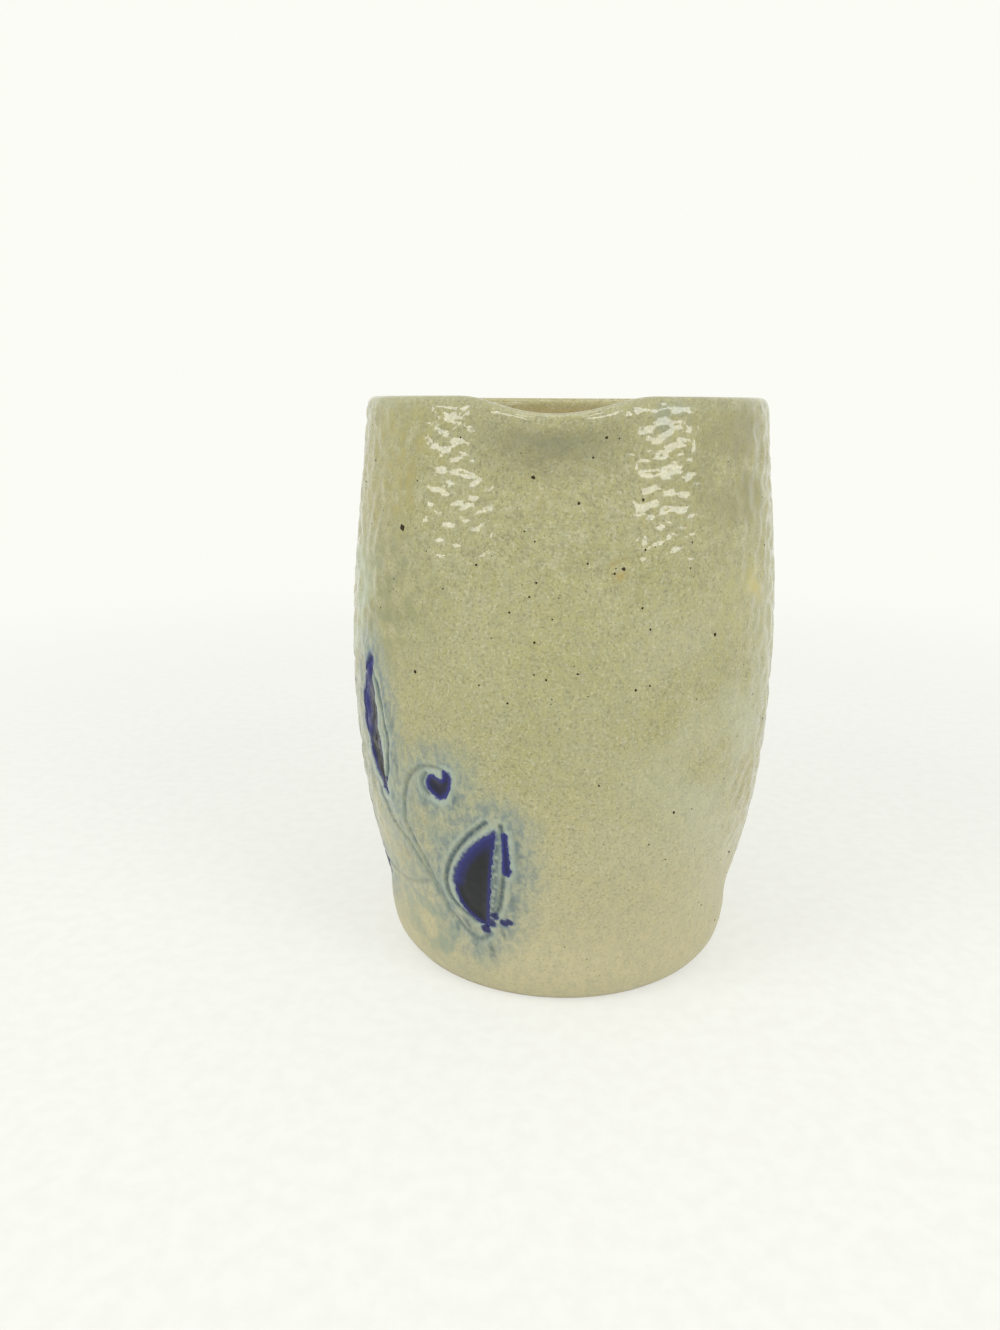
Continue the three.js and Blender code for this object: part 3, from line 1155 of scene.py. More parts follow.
@dataclass(frozen=True)
class Sprig:
    """A two-leaved sprig with a flower, cut into the wall beside the lip and filled with cobalt.

    Its lines, drops and smears are on its right side and are repeated on its left. A drop is its degrees from
    the middle line, its height and its radius, and a smear has how strong it is as well.
    """

    angle: float = -68.5
    cloud_reach: float = 0.0060
    leaf_angle: float = 48.1
    leaf_middle: float = 0.0255
    leaf_width: float = 0.0071
    leaf_height: float = 0.0203
    leaf_lean: float = 0.0031
    vein_middle: float = 0.0316
    vein_rib: float = 0.00115
    vein_width: float = 0.0013
    vein_height: float = 0.0082
    berry_angle: float = 40.2
    berry_middle: float = 0.0428
    berry_radius: float = 0.0024
    petal_angle: float = 13.4
    petal_middle: float = 0.0496
    petal_width: float = 0.0050
    petal_height: float = 0.0250
    petal_lean: float = -0.0036
    bud_middle: float = 0.0174
    bud_width: float = 0.0044
    bud_height: float = 0.0066
    bud_swell: float = 0.0006
    bud_deepest: float = 0.6
    berry_deepest: float = 0.75
    vein_deepest: float = 0.7
    thin_from: float = 0.48
    leaf_fade: float = 0.0026
    petal_fade: float = 0.0034
    vein_fade: float = 0.0006
    leaf_bleed: float = 0.0013
    petal_bleed: float = 0.0026
    top_fade: float = 0.0062
    lines: tuple = (
        CutLine(((53.2, 0.0374), (47.9, 0.0339), (42.6, 0.0290), (39.6, 0.0243), (39.4, 0.0223),
                 (39.9, 0.0203), (43.1, 0.0178), (47.6, 0.0158))),
        CutLine(((57.1, 0.0372), (57.8, 0.0339), (57.9, 0.0311), (57.0, 0.0258), (55.9, 0.0211),
                 (54.8, 0.0193), (53.4, 0.0177))),
        CutLine(((13.3, 0.0625), (18.4, 0.0566), (20.6, 0.0515), (21.7, 0.0463), (19.9, 0.0403),
                 (17.0, 0.0384)), width=0.0006),
        CutLine(((39.3, 0.0156), (36.5, 0.0205), (31.8, 0.0271), (28.2, 0.0312), (26.7, 0.0333),
                 (27.3, 0.0369), (28.5, 0.0401), (30.9, 0.0431), (34.4, 0.0451), (38.3, 0.0459),
                 (41.8, 0.0456), (43.4, 0.0442)), cobalt=0.45),
        CutLine(((36.4, 0.0444), (35.0, 0.0428), (35.4, 0.0415), (36.9, 0.0405)), cobalt=0.8),
        CutLine(((39.1, 0.0151), (34.1, 0.0222), (27.1, 0.0284), (19.5, 0.0320), (15.0, 0.0368)), cobalt=0.4),
        CutLine(((39.6, 0.0162), (43.6, 0.0134), (48.4, 0.0120), (52.0, 0.0140)), depth=0.0002, cobalt=0.6),
        CutLine(((34.1, 0.0222), (22.0, 0.0190), (8.0, 0.0188), (0.0, 0.0176)), depth=0.0002, cobalt=0.3),
    )
    stem: CutLine = CutLine(((0.0, 0.0256), (0.3, 0.0310), (-0.2, 0.0376), (0.0, 0.0440)), cobalt=0.5)
    rib: CutLine = CutLine(((56.1, 0.0351), (55.8, 0.0327), (55.3, 0.0298), (54.7, 0.0264), (54.2, 0.0230),
                            (53.0, 0.0191)), width=0.0009, depth=0.00010, cobalt=0.95)
    bead_pitch: float = 0.00125
    bead_stray: float = 0.00028
    bead_seed: int = 41
    drops: tuple = ((50.6, 0.0146, 0.0011), (52.2, 0.0164, 0.0013), (53.7, 0.0180, 0.0010),
                    (56.5, 0.0168, 0.0010), (58.1, 0.0172, 0.0009))
    smears: tuple = ((56.1, 0.0141, 0.0006, 0.8), (52.3, 0.0103, 0.0008, 0.8), (40.8, 0.0137, 0.0008, 0.5),
                     (44.6, 0.0146, 0.0010, 0.6), (46.8, 0.0123, 0.0010, 0.6), (35.5, 0.0386, 0.0009, 0.5),
                     (45.1, 0.0410, 0.0011, 0.45), (22.0, 0.0549, 0.0007, 0.5), (20.1, 0.0583, 0.0008, 0.5),
                     (24.6, 0.0514, 0.0008, 0.5), (24.7, 0.0454, 0.0007, 0.5), (25.3, 0.0430, 0.0007, 0.4),
                     (21.6, 0.0372, 0.0009, 0.5), (18.6, 0.0330, 0.0009, 0.5), (60.9, 0.0351, 0.0011, 0.4),
                     (61.5, 0.0312, 0.0013, 0.45), (61.1, 0.0271, 0.0013, 0.4), (59.6, 0.0215, 0.0011, 0.4))
    smear_stretch: float = 2.2

    def pools(self) -> list[CobaltPool]:
        """List the sprig's pools.

        Returns:
            The pools, each side's and the bud.
        """
        found = [CobaltPool("cobalt_bud", PoolShape.POINTED, self.angle, self.bud_middle, self.bud_width,
                            self.bud_height, deepest=self.bud_deepest, swell=self.bud_swell)]
        vein_shift = (self.leaf_width + self.leaf_lean + self.vein_width) / 2 + self.vein_rib
        for side, turn in (("right", 1.0), ("left", -1.0)):
            mirrored = turn < 0
            petal = self.angle + turn * self.petal_angle
            berry = self.angle + turn * self.berry_angle
            leaf = self.angle + turn * self.leaf_angle
            found += [
                CobaltPool(f"cobalt_petal_{side}", PoolShape.BOWED, petal, self.petal_middle,
                           self.petal_width, self.petal_height, self.petal_lean, 0.0, mirrored,
                           self.thin_from, self.petal_fade, bleed=self.petal_bleed, top_fade=self.top_fade),
                CobaltPool(f"cobalt_berry_{side}", PoolShape.CURLED, berry, self.berry_middle,
                           2 * self.berry_radius, 2 * self.berry_radius, mirrored=mirrored,
                           deepest=self.berry_deepest),
                CobaltPool(f"cobalt_leaf_{side}", PoolShape.BOWED, leaf, self.leaf_middle, self.leaf_width,
                           self.leaf_height, self.leaf_lean, 0.0, mirrored, self.thin_from, self.leaf_fade,
                           bleed=self.leaf_bleed, top_fade=self.top_fade),
                CobaltPool(f"cobalt_vein_{side}", PoolShape.BAR, leaf, self.vein_middle, self.vein_width,
                           self.vein_height, shift=vein_shift, mirrored=mirrored, fade=self.vein_fade,
                           deepest=self.vein_deepest),
            ]
        return found


@dataclass
class GlazedWall:
    """The outside of the pot as the kiln left it: the section, the lip, the sprig and the glaze's relief.

    A pool's bed is recess deep, its side slopes by shore outwards and inwards of the outline, and its glass
    stands fill below the wall. The bleeds, hazes and edges say how far and how strongly the cobalt ran out:
    those of drops and smears are shares of their radius, those of beads shares of their pitch, and a cut's
    bed, burr and line are shares of its width. The pebbles are peel_height high on the front and side_height
    on the pot's left and right. The sway is how far the wall is out of round.
    """

    profile: WallProfile
    lip: PouringLip
    sprig: Sprig
    recess: float = 0.0009
    fill: float = 0.00018
    shore: Span = (0.00045, 0.0006)
    ragged: float = 0.00011
    edge_bleed: float = 0.0008
    bleed_turn: float = 0.0015
    stain_core: float = 0.0002
    pool_haze: float = 0.9
    pool_ridge: Span = (0.0018, 0.0008)
    drop_depth: float = 0.0002
    drop_edge: Span = (1.3, 0.5)
    drop_bed: float = 1.2
    drop_stray: float = 0.6
    smear_edge: float = 1.3
    bead_pale: float = 0.8
    bead_edge: Span = (0.44, 0.15)
    bed_width: float = 0.625
    burr_place: float = 1.25
    burr_width: float = 0.5
    line_width: float = 0.62
    burr_height: float = 0.15
    burr_pale: float = 0.7
    line_haze: float = 0.85
    least_pebble: float = 0.22
    side_pebble: float = 0.85
    pebble_rise: Span = (0.066, 0.088)
    side_turn: Span = (0.5, 0.9)
    side_rise: Span = (0.008, 0.040)
    rim_calm: Span = (0.0004, 0.0022)
    foot_calm: Span = (0.001, 0.006)
    peel_height: float = 0.00009
    side_height: float = 0.00020
    sway: float = 0.00008
    sway_top: float = 2.0
    sway_room: float = 3.0
    ring_height: float = 0.00001
    ring_pitch: float = 0.0027
    peel: Waves = Waves(0.0022, 16, (1.2, 1.2, 1.0))
    side_peel: Waves = Waves(0.0034, 17, (1.1, 1.1, 1.4))
    ripple: Waves = Waves(0.0009, 12)
    slow: Waves = Waves(0.060, 13)
    reach: float = 0.0080

    def shell(self, angle: Array, height: Array) -> Array:
        """Give the points of the plain wall, before any relief."""
        return about_axis(angle, self.profile.radius_at(height), height)

    def pebble(self, angle: Array, height: Array) -> Array:
        """Say how strongly, from 0 to 1, the salt pebbled the glaze: most near the rim and on the sides."""
        strong = np.maximum(ease(height, *self.pebble_rise), self.side_pebble * self.side(angle, height))
        return self.least_pebble + (1.0 - self.least_pebble) * strong

    def side(self, angle: Array, height: Array) -> Array:
        """Say how much points are on the pot's left or right, clear of the foot, from 0 to 1."""
        return ease(np.abs(np.sin(angle)), *self.side_turn) * ease(height, *self.side_rise)

    def relief(self, angle: Array, height: Array) -> Array:
        """Give the waves and pebbles of the glaze, without the sprig.

        Args:
            angle: The points' angles, in radians from -pi to pi.
            height: Their heights.

        Returns:
            How far each point stands out from the plain wall, which is never above 0.
        """
        place = self.shell(angle, height)
        calm = ease(self.profile.height - height, *self.rim_calm) * ease(height, *self.foot_calm)
        side = self.side(angle, height)
        front = self.peel_height * self.pebble(angle, height) * (np.tanh(self.peel.at(place)) - 1.0)
        coarse = self.side_height * (np.tanh(self.side_peel.at(place)) - 1.0)
        rings = self.ring_height * (np.sin(math.tau * height / self.ring_pitch + angle) - 1.0)
        lift = self.sway * (self.slow.at(place) - self.sway_top)
        return np.minimum(lift + calm * ((1.0 - side) * front + side * coarse + rings), 0.0)

    def deepest_relief(self) -> float:
        """Give how far below the plain wall the glaze can lie."""
        return 2.0 * max(self.peel_height, self.side_height) + self.sway_room * self.sway

    def skin(self, angle: Array, height: Array) -> tuple[Array, Fields]:
        """Give the wall's relief and what its glaze follows.

        Args:
            angle: The points' angles, in radians.
            height: Their heights.

        Returns:
            How far each point stands out, and the numbers that the glaze reads.
        """
        turned = wrapped(angle)
        fields = self._sprig_relief(turned, height)
        fields["pebble"] = self.pebble(turned, height)
        # painted shade in the hollow under the lip
        fields["throat"] = self.lip.shade(turned, height)
        return self.relief(turned, height) - fields.pop("cut"), fields

    def _sprig_relief(self, angle: Array, height: Array) -> Fields:
        """Work out how deep the sprig is cut and where its cobalt lies.

        Args:
            angle: The points' angles, in radians.
            height: Their heights.

        Returns:
            The depth of the cut, and the fields of its cobalt.
        """
        fields = {key: np.zeros(len(angle)) for key in ("cut", *COBALT_FIELDS)}
        radius = self.profile.radius_at(height)
        stray = self.ragged * self.ripple.at(self.shell(angle, height))
        off = angle - math.radians(self.sprig.angle)
        for turn in (1.0, -1.0):
            plane = np.column_stack([off * turn * radius, height])
            for line in self.sprig.lines + ((self.sprig.stem,) if turn > 0 else ()):
                self._cut_line(line, plane, fields)
            self._bead_rib(plane, fields)
            for degrees, up, size in self.sprig.drops:
                gap = np.linalg.norm(plane - self._spot(degrees, up), axis=1) + self.drop_stray * stray
                raise_to(fields["stain"], ease(gap, size * self.drop_edge[0], size * self.drop_edge[1]))
                raise_to(fields["cut"], self.drop_depth * ease(gap, size * self.drop_bed, 0.0))
            for degrees, up, size, share in self.sprig.smears:
                away = (plane - self._spot(degrees, up)) / (1.0, self.sprig.smear_stretch)
                gap = np.linalg.norm(away, axis=1) + stray
                raise_to(fields["groove"], share * ease(gap, size * self.smear_edge, 0.0))
        for pool in self.sprig.pools():
            gap = pool.gap(angle, height, radius, self.reach)
            shore = gap + stray
            raise_to(fields["cut"], self.recess * ease(shore, self.shore[0], -self.shore[1]))
            thin = distance_to_line(pool.local(angle, height, radius), pool.shore(), self.reach)
            wide = ease(thin - np.abs(gap), self.bleed_turn, 0.0)
            bleed = self.edge_bleed + (pool.bleed - self.edge_bleed) * wide
            raise_to(fields["stain"], ease(shore, bleed, -self.stain_core))
            raise_to(fields["haze"], self.pool_haze * bell(np.maximum(gap, 0.0), self.sprig.cloud_reach))
            raise_to(fields["ridge"], ease(gap, *self.pool_ridge))
        return fields

    def _spot(self, degrees: float, up: float) -> Array:
        """Give a place on the unrolled wall by its degrees from the sprig's middle line and its height."""
        return np.array([[math.radians(degrees) * self.profile.radius_at(np.array(up)), up]])

    def _unrolled(self, line: CutLine) -> Array:
        """Draw a cut line on the wall unrolled about the sprig's middle line."""
        angles, heights = np.asarray(line.points).T
        return curve_through(list(zip(np.radians(angles) * self.profile.radius_at(heights), heights)))

    def _bead_rib(self, plane: Array, fields: Fields) -> None:
        """Raise the leaf's rib, a row of pale beads with cobalt between them.

        Args:
            plane: The wall's points, unrolled about the sprig's middle line.
            fields: The cut and its cobalt so far, which are changed.
        """
        rib, pitch = self.sprig.rib, self.sprig.bead_pitch
        drawn = self._unrolled(rib)
        pale = np.zeros(len(plane))
        draw = np.random.default_rng(self.sprig.bead_seed)
        for bead in even_steps(drawn, pitch):
            gap = np.linalg.norm(plane - bead - draw.normal(0.0, self.sprig.bead_stray, 2), axis=1)
            fields["cut"] -= rib.depth * ease(gap, pitch / 2, 0.0)
            raise_to(pale, self.bead_pale * ease(gap, self.bead_edge[0] * pitch, self.bead_edge[1] * pitch))
        gap = distance_to_line(plane, drawn, self.reach)
        raise_to(fields["groove"], rib.cobalt * bell(gap, rib.width) * (1.0 - pale))
        raise_to(fields["ridge"], pale)

    def _cut_line(self, line: CutLine, plane: Array, fields: Fields) -> None:
        """Cut one line into the wall.

        Args:
            line: The line.
            plane: The wall's points, unrolled about the sprig's middle line.
            fields: The cut and its cobalt so far, which are changed.
        """
        gap = distance_to_line(plane, self._unrolled(line), self.reach)
        near = gap < self.reach
        bed = bell(gap, self.bed_width * line.width)
        burr = bell(gap - self.burr_place * line.width, self.burr_width * line.width)
        raise_to(fields["cut"], np.where(near, line.depth * bed, -np.inf))
        fields["cut"][near] -= line.depth * self.burr_height * burr[near]
        raise_to(fields["groove"], line.cobalt * bell(gap, self.line_width * line.width))
        raise_to(fields["ridge"], self.burr_pale * line.cobalt * burr)
        haze = self.line_haze * math.sqrt(line.cobalt)
        raise_to(fields["haze"], haze * bell(gap, self.sprig.cloud_reach))

    def place(self, angle: Array, height: Array, lift: Array) -> Array:
        """Place points over the plain wall.

        Args:
            angle: The points' angles, in radians.
            height: Their heights on the wall before the lip was drawn out.
            lift: How far they stand out from it.

        Returns:
            The points.
        """
        turned = wrapped(angle)
        radius, risen = self.lip.draw_out(turned, self.profile.radius_at(height) + lift, height)
        return about_axis(turned, radius, risen)


@dataclass
class ThrownBody:
    """The thrown pot: one closed mesh of the foot, wall, rim, lip and inside.

    Attributes:
        wall: The pot's outside.
        columns: How many faces go round.
        rows: How many faces each stretch of the section has.
        fine_from: The height on the outside above which the faces are small.
        fine_share: How much of the outside's rows lie above that height.
        refine: Into how many parts each way a face at the sprig is split.
        busy_from: The cobalt or the paleness from which a face is split.
        throw_height: The height of the finger marks inside.
        throw_pitch: How far apart they are.
        inner_calm: How far below the rim they set in.
        floor_clear: How high over the ground they end, in heights of the floor.
        pole: The radius of the flat faces that close the mesh on the axis.
    """

    wall: GlazedWall
    columns: int = 324
    rows: dict = field(default_factory=lambda: {Zone.UNDERSIDE: 7, Zone.OUTSIDE: 154, Zone.RIM: 15,
                                                Zone.INSIDE: 46})
    fine_from: float = 0.068
    fine_share: float = 0.5
    refine: int = 3
    busy_from: float = 0.02
    throw_height: float = 0.00016
    throw_pitch: float = 0.0075
    dimples: Waves = Waves(0.007, 21)
    dimple_share: float = 0.6
    inner_calm: Span = (0.001, 0.008)
    floor_clear: float = 1.2
    rim_pebble: float = 0.6
    inner_pebble: float = 0.35
    rim_pale: float = 0.12
    pole: float = 0.0025

    @property
    def wide(self) -> int:
        """How many points of the fine grid go round."""
        return self.columns * self.refine

    def _section_rows(self) -> tuple[Array, Array]:
        """Pick the rows of the mesh along the section, the split ones too.

        Returns:
            The rows' radius and height, and the zone of each.
        """
        points, zones = self.wall.profile.section()
        places, kinds = [], []
        for zone, count in self.rows.items():
            index = np.flatnonzero(zones == zone.value)
            first = index[0] if zone is Zone.UNDERSIDE else index[0] - 1
            steps = np.linspace(first, index[-1], count * self.refine + 1)
            if zone is Zone.OUTSIDE:
                turn = index[np.argmax(points[index, 1] > self.fine_from)]
                steps = np.interp(np.linspace(0.0, 1.0, len(steps)), [0.0, 1.0 - self.fine_share, 1.0],
                                  [first, turn, index[-1]])
            places.append(steps if not places else steps[1:])
            kinds.append(np.full(len(places[-1]), zone.value))
        where = np.concatenate(places)
        order = np.arange(len(points))
        rows = np.column_stack([np.interp(where, order, points[:, axis]) for axis in (0, 1)])
        rows[:, 0] = np.maximum(rows[:, 0], self.pole)
        return rows, np.concatenate(kinds)

    def _split_cells(self, rows: Array, zones: Array) -> Array:
        """Choose the faces that are split, near the sprig's lines and the pools' edges.

        Args:
            rows: The rows' radius and height.
            zones: Their zones.

        Returns:
            True for each face of the coarse grid that is split.
        """
        count = (len(rows) - 1) // self.refine
        split = np.zeros((count, self.columns), bool)
        middles = rows[self.refine // 2::self.refine][:count]
        outside = np.flatnonzero(zones[self.refine // 2::self.refine][:count] == Zone.OUTSIDE.value)
        angles = (np.arange(self.columns) + 0.5) * math.tau / self.columns
        grid_angle, grid_height = np.meshgrid(angles, middles[outside, 1])
        _, fields = self.wall.skin(grid_angle.ravel(), grid_height.ravel())
        busy = np.any([fields[key] > self.busy_from for key in ("ridge", "groove", "stain")], axis=0)
        split[outside] = busy.reshape(len(outside), self.columns)
        return split

    def _faces(self, split: Array) -> tuple[Array, list[list[int]]]:
        """Join the grid's points to faces, with small faces where it is split.

        Args:
            split: True for each face of the coarse grid that is split.

        Returns:
            The grid places that are used, and the corners of each face as indices of them.
        """
        part, count = self.refine, len(split)
        around = np.zeros_like(split)
        around[1:] |= split[:-1]
        around[:-1] |= split[1:]
        around |= np.roll(split, 1, axis=1) | np.roll(split, -1, axis=1)
        row, column = np.nonzero(~split & ~around)
        faces = self._quads(row * part, column * part, part)
        row, column = np.nonzero(split)
        for down in range(part):
            for along in range(part):
                faces += self._quads(row * part + down, column * part + along, 1)
        faces += [self._edge_face(split, *cell) for cell in zip(*np.nonzero(~split & around))]
        first = [index * part for index in range(self.columns)]
        faces += [first[::-1], [count * part * self.wide + place for place in first]]
        used = np.unique(np.concatenate([np.asarray(face) for face in faces]))
        lookup = np.full(used[-1] + 1, -1)
        lookup[used] = np.arange(len(used))
        return used, [lookup[np.asarray(face)].tolist() for face in faces]

    def _quads(self, row: Array, column: Array, size: int) -> list[list[int]]:
        """Make square faces on the fine grid.

        Args:
            row: The row of each face's first corner.
            column: Its column.
            size: How many steps long a side is.

        Returns:
            The grid places of the corners of each.
        """
        low, high = row * self.wide, (row + size) * self.wide
        right = (column + size) % self.wide
        return np.column_stack([low + column, low + right, high + right, high + column]).tolist()

    def _side(self, busy: bool, start: tuple[int, int], step: tuple[int, int]) -> list[int]:
        """Follow one side of a face, without its last corner.

        Args:
            busy: Whether the face beyond it is split.
            start: The row and column on the fine grid where it starts.
            step: The rows and columns of one step along it.

        Returns:
            The grid places on it.
        """
        return [(start[0] + step[0] * k) * self.wide + (start[1] + step[1] * k) % self.wide
                for k in range(self.refine if busy else 1)]

    def _edge_face(self, split: Array, row: int, column: int) -> list[int]:
        """Make the face beside a split one, with the split one's points on the shared side.

        Args:
            split: True for each face that is split.
            row: The face's row.
            column: The face's column.

        Returns:
            The grid places of its corners.
        """
        low, left = row * self.refine, column * self.refine
        high, right = low + self.refine, left + self.refine
        below = row > 0 and split[row - 1, column]
        above = row < len(split) - 1 and split[row + 1, column]
        east = split[row, (column + 1) % self.columns]
        west = split[row, column - 1]
        return (self._side(below, (low, left), (0, 1)) + self._side(east, (low, right), (1, 0))
                + self._side(above, (high, right), (0, -1)) + self._side(west, (high, left), (-1, 0)))

    def build(self, glaze: Material) -> Object:
        """Build the pot's mesh.

        Args:
            glaze: Its glaze.

        Returns:
            The piece.
        """
        rows, zones = self._section_rows()
        used, faces = self._faces(self._split_cells(rows, zones))
        row, column = used // self.wide, used % self.wide
        angle = wrapped(column * math.tau / self.wide)
        radius, height = rows[row].T
        zone = zones[row]
        profile = self.wall.profile
        fields = {key: np.zeros(len(used)) for key in GLAZE_FIELDS}
        fields["inside"] = (zone == Zone.INSIDE.value).astype(float)
        fields["under"] = (zone == Zone.UNDERSIDE.value).astype(float)
        lift = np.zeros(len(used))
        rim = zone == Zone.RIM.value
        fields["pebble"][rim] = self.rim_pebble
        crown = profile.rim_radius - profile.rim_wall / 2
        outer = np.flatnonzero((zone == Zone.OUTSIDE.value) | (rim & (radius > crown)))
        lift[outer], outer_fields = self.wall.skin(angle[outer], height[outer])
        for key, values in outer_fields.items():
            fields[key][outer] = values
        fields["ridge"][rim] = self.rim_pale
        inner = np.flatnonzero((zone == Zone.INSIDE.value) & (height > profile.floor * self.floor_clear))
        dimples = self.dimples.at(about_axis(angle, radius, height)[inner])
        calm = ease(profile.height - height[inner], *self.inner_calm)
        finger = np.sin(math.tau * height[inner] / self.throw_pitch + angle[inner])
        lift[inner] = calm * self.throw_height * (finger + self.dimple_share * dimples)
        fields["pebble"][inner] = self.inner_pebble
        radius, height = self.wall.lip.draw_out(angle, radius + lift, height)
        return make_piece("glazed_body", about_axis(angle, radius, height), faces, glaze, fields)

    def dress(self, glaze: Material) -> None:
        """Build the pot and put it on its body."""
        hand_over(self.build(glaze), "stoneware", "thrown_body")


@dataclass
class SprigFilling:
    """The cobalt that stands in the sprig's pools, one closed lens of glass each.

    Attributes:
        wall: The wall that it lies in.
        overlap: How far a lens runs on under the sloping side of its bed.
        sag: How much lower its middle stands than its edge.
        brim: How far from the edge the glass turns down.
        rings: How many rings of faces it has.
        edge_step: How long a face is at the edge.
        bed: How far below the wall its underside lies.
        rim_depth: How dark it is at its edge.
        rim_fade: How far from the edge it grows dark.
    """

    wall: GlazedWall
    overlap: float = 0.00034
    sag: float = 0.00028
    brim: float = 0.0016
    rings: int = 14
    edge_step: float = 0.00028
    bed: float = 0.00086
    rim_depth: float = 0.15
    rim_fade: float = 0.0012

    def build(self, pool: CobaltPool, glass: Material) -> Object:
        """Build one pool's glass.

        Args:
            pool: The pool.
            glass: Its material.

        Returns:
            The piece.
        """
        profile = self.wall.profile
        outline = pool.outline()
        edge = even_steps(np.vstack([outline, outline[:1]]), self.edge_step)[:-1]
        if np.cross(edge, np.roll(edge, -1, axis=0)).sum() < 0:
            edge = edge[::-1]
        side = np.roll(edge, -1, axis=0) - np.roll(edge, 1, axis=0)
        out = np.column_stack([side[:, 1], -side[:, 0]]) / np.linalg.norm(side, axis=1)[:, None]
        edge = edge + self.overlap * out
        centre = pool.heart()
        shares = np.linspace(1.0, 0.0, self.rings, endpoint=False)
        flat = np.vstack([centre + share * (edge - centre) for share in shares] + [centre[None]])
        height = pool.middle + flat[:, 1]
        angle = wrapped(math.radians(pool.angle) + np.arcsin(flat[:, 0] / profile.radius_at(height)))
        inwards = -pool.gap(angle, height, profile.radius_at(height), self.wall.reach)
        wall = self.wall.relief(angle, height)
        top = wall - self.wall.fill - self.sag * ease(inwards, -self.overlap, self.brim)
        top += pool.swell * ease(inwards, 0.0, self.brim)
        upper = self.wall.place(angle, height, top)
        ring = len(edge)
        lower = self.wall.place(angle[:ring], height[:ring], wall[:ring] - self.bed)
        points = np.vstack([upper, lower])
        faces = []
        for level in range(self.rings - 1):
            faces += band_faces(level * ring, (level + 1) * ring, ring)
        tip = self.rings * ring
        last, base = tip - ring, tip + 1
        faces += [[last + k, last + (k + 1) % ring, tip] for k in range(ring)]
        faces += band_faces(base, 0, ring)
        faces.append(list(range(base, base + ring))[::-1])
        thick = distance_to_line(flat, pool.shore(), self.wall.reach) / pool.fade
        thick = np.minimum(thick, self.rim_depth + inwards / self.rim_fade)
        if pool.top_fade:
            below = pool.middle + pool.height / 2 - height
            thick = np.minimum(thick, below / pool.top_fade)
        depth = np.concatenate([np.clip(thick, 0.0, pool.deepest), np.zeros(ring)])
        return make_piece(pool.node + "_glass", points, faces, glass, {"depth": depth})

    def dress(self, glass: Material) -> None:
        """Build every pool and put it on its body."""
        for pool in self.wall.sprig.pools():
            hand_over(self.build(pool, glass), "cobalt_slip", pool.node)


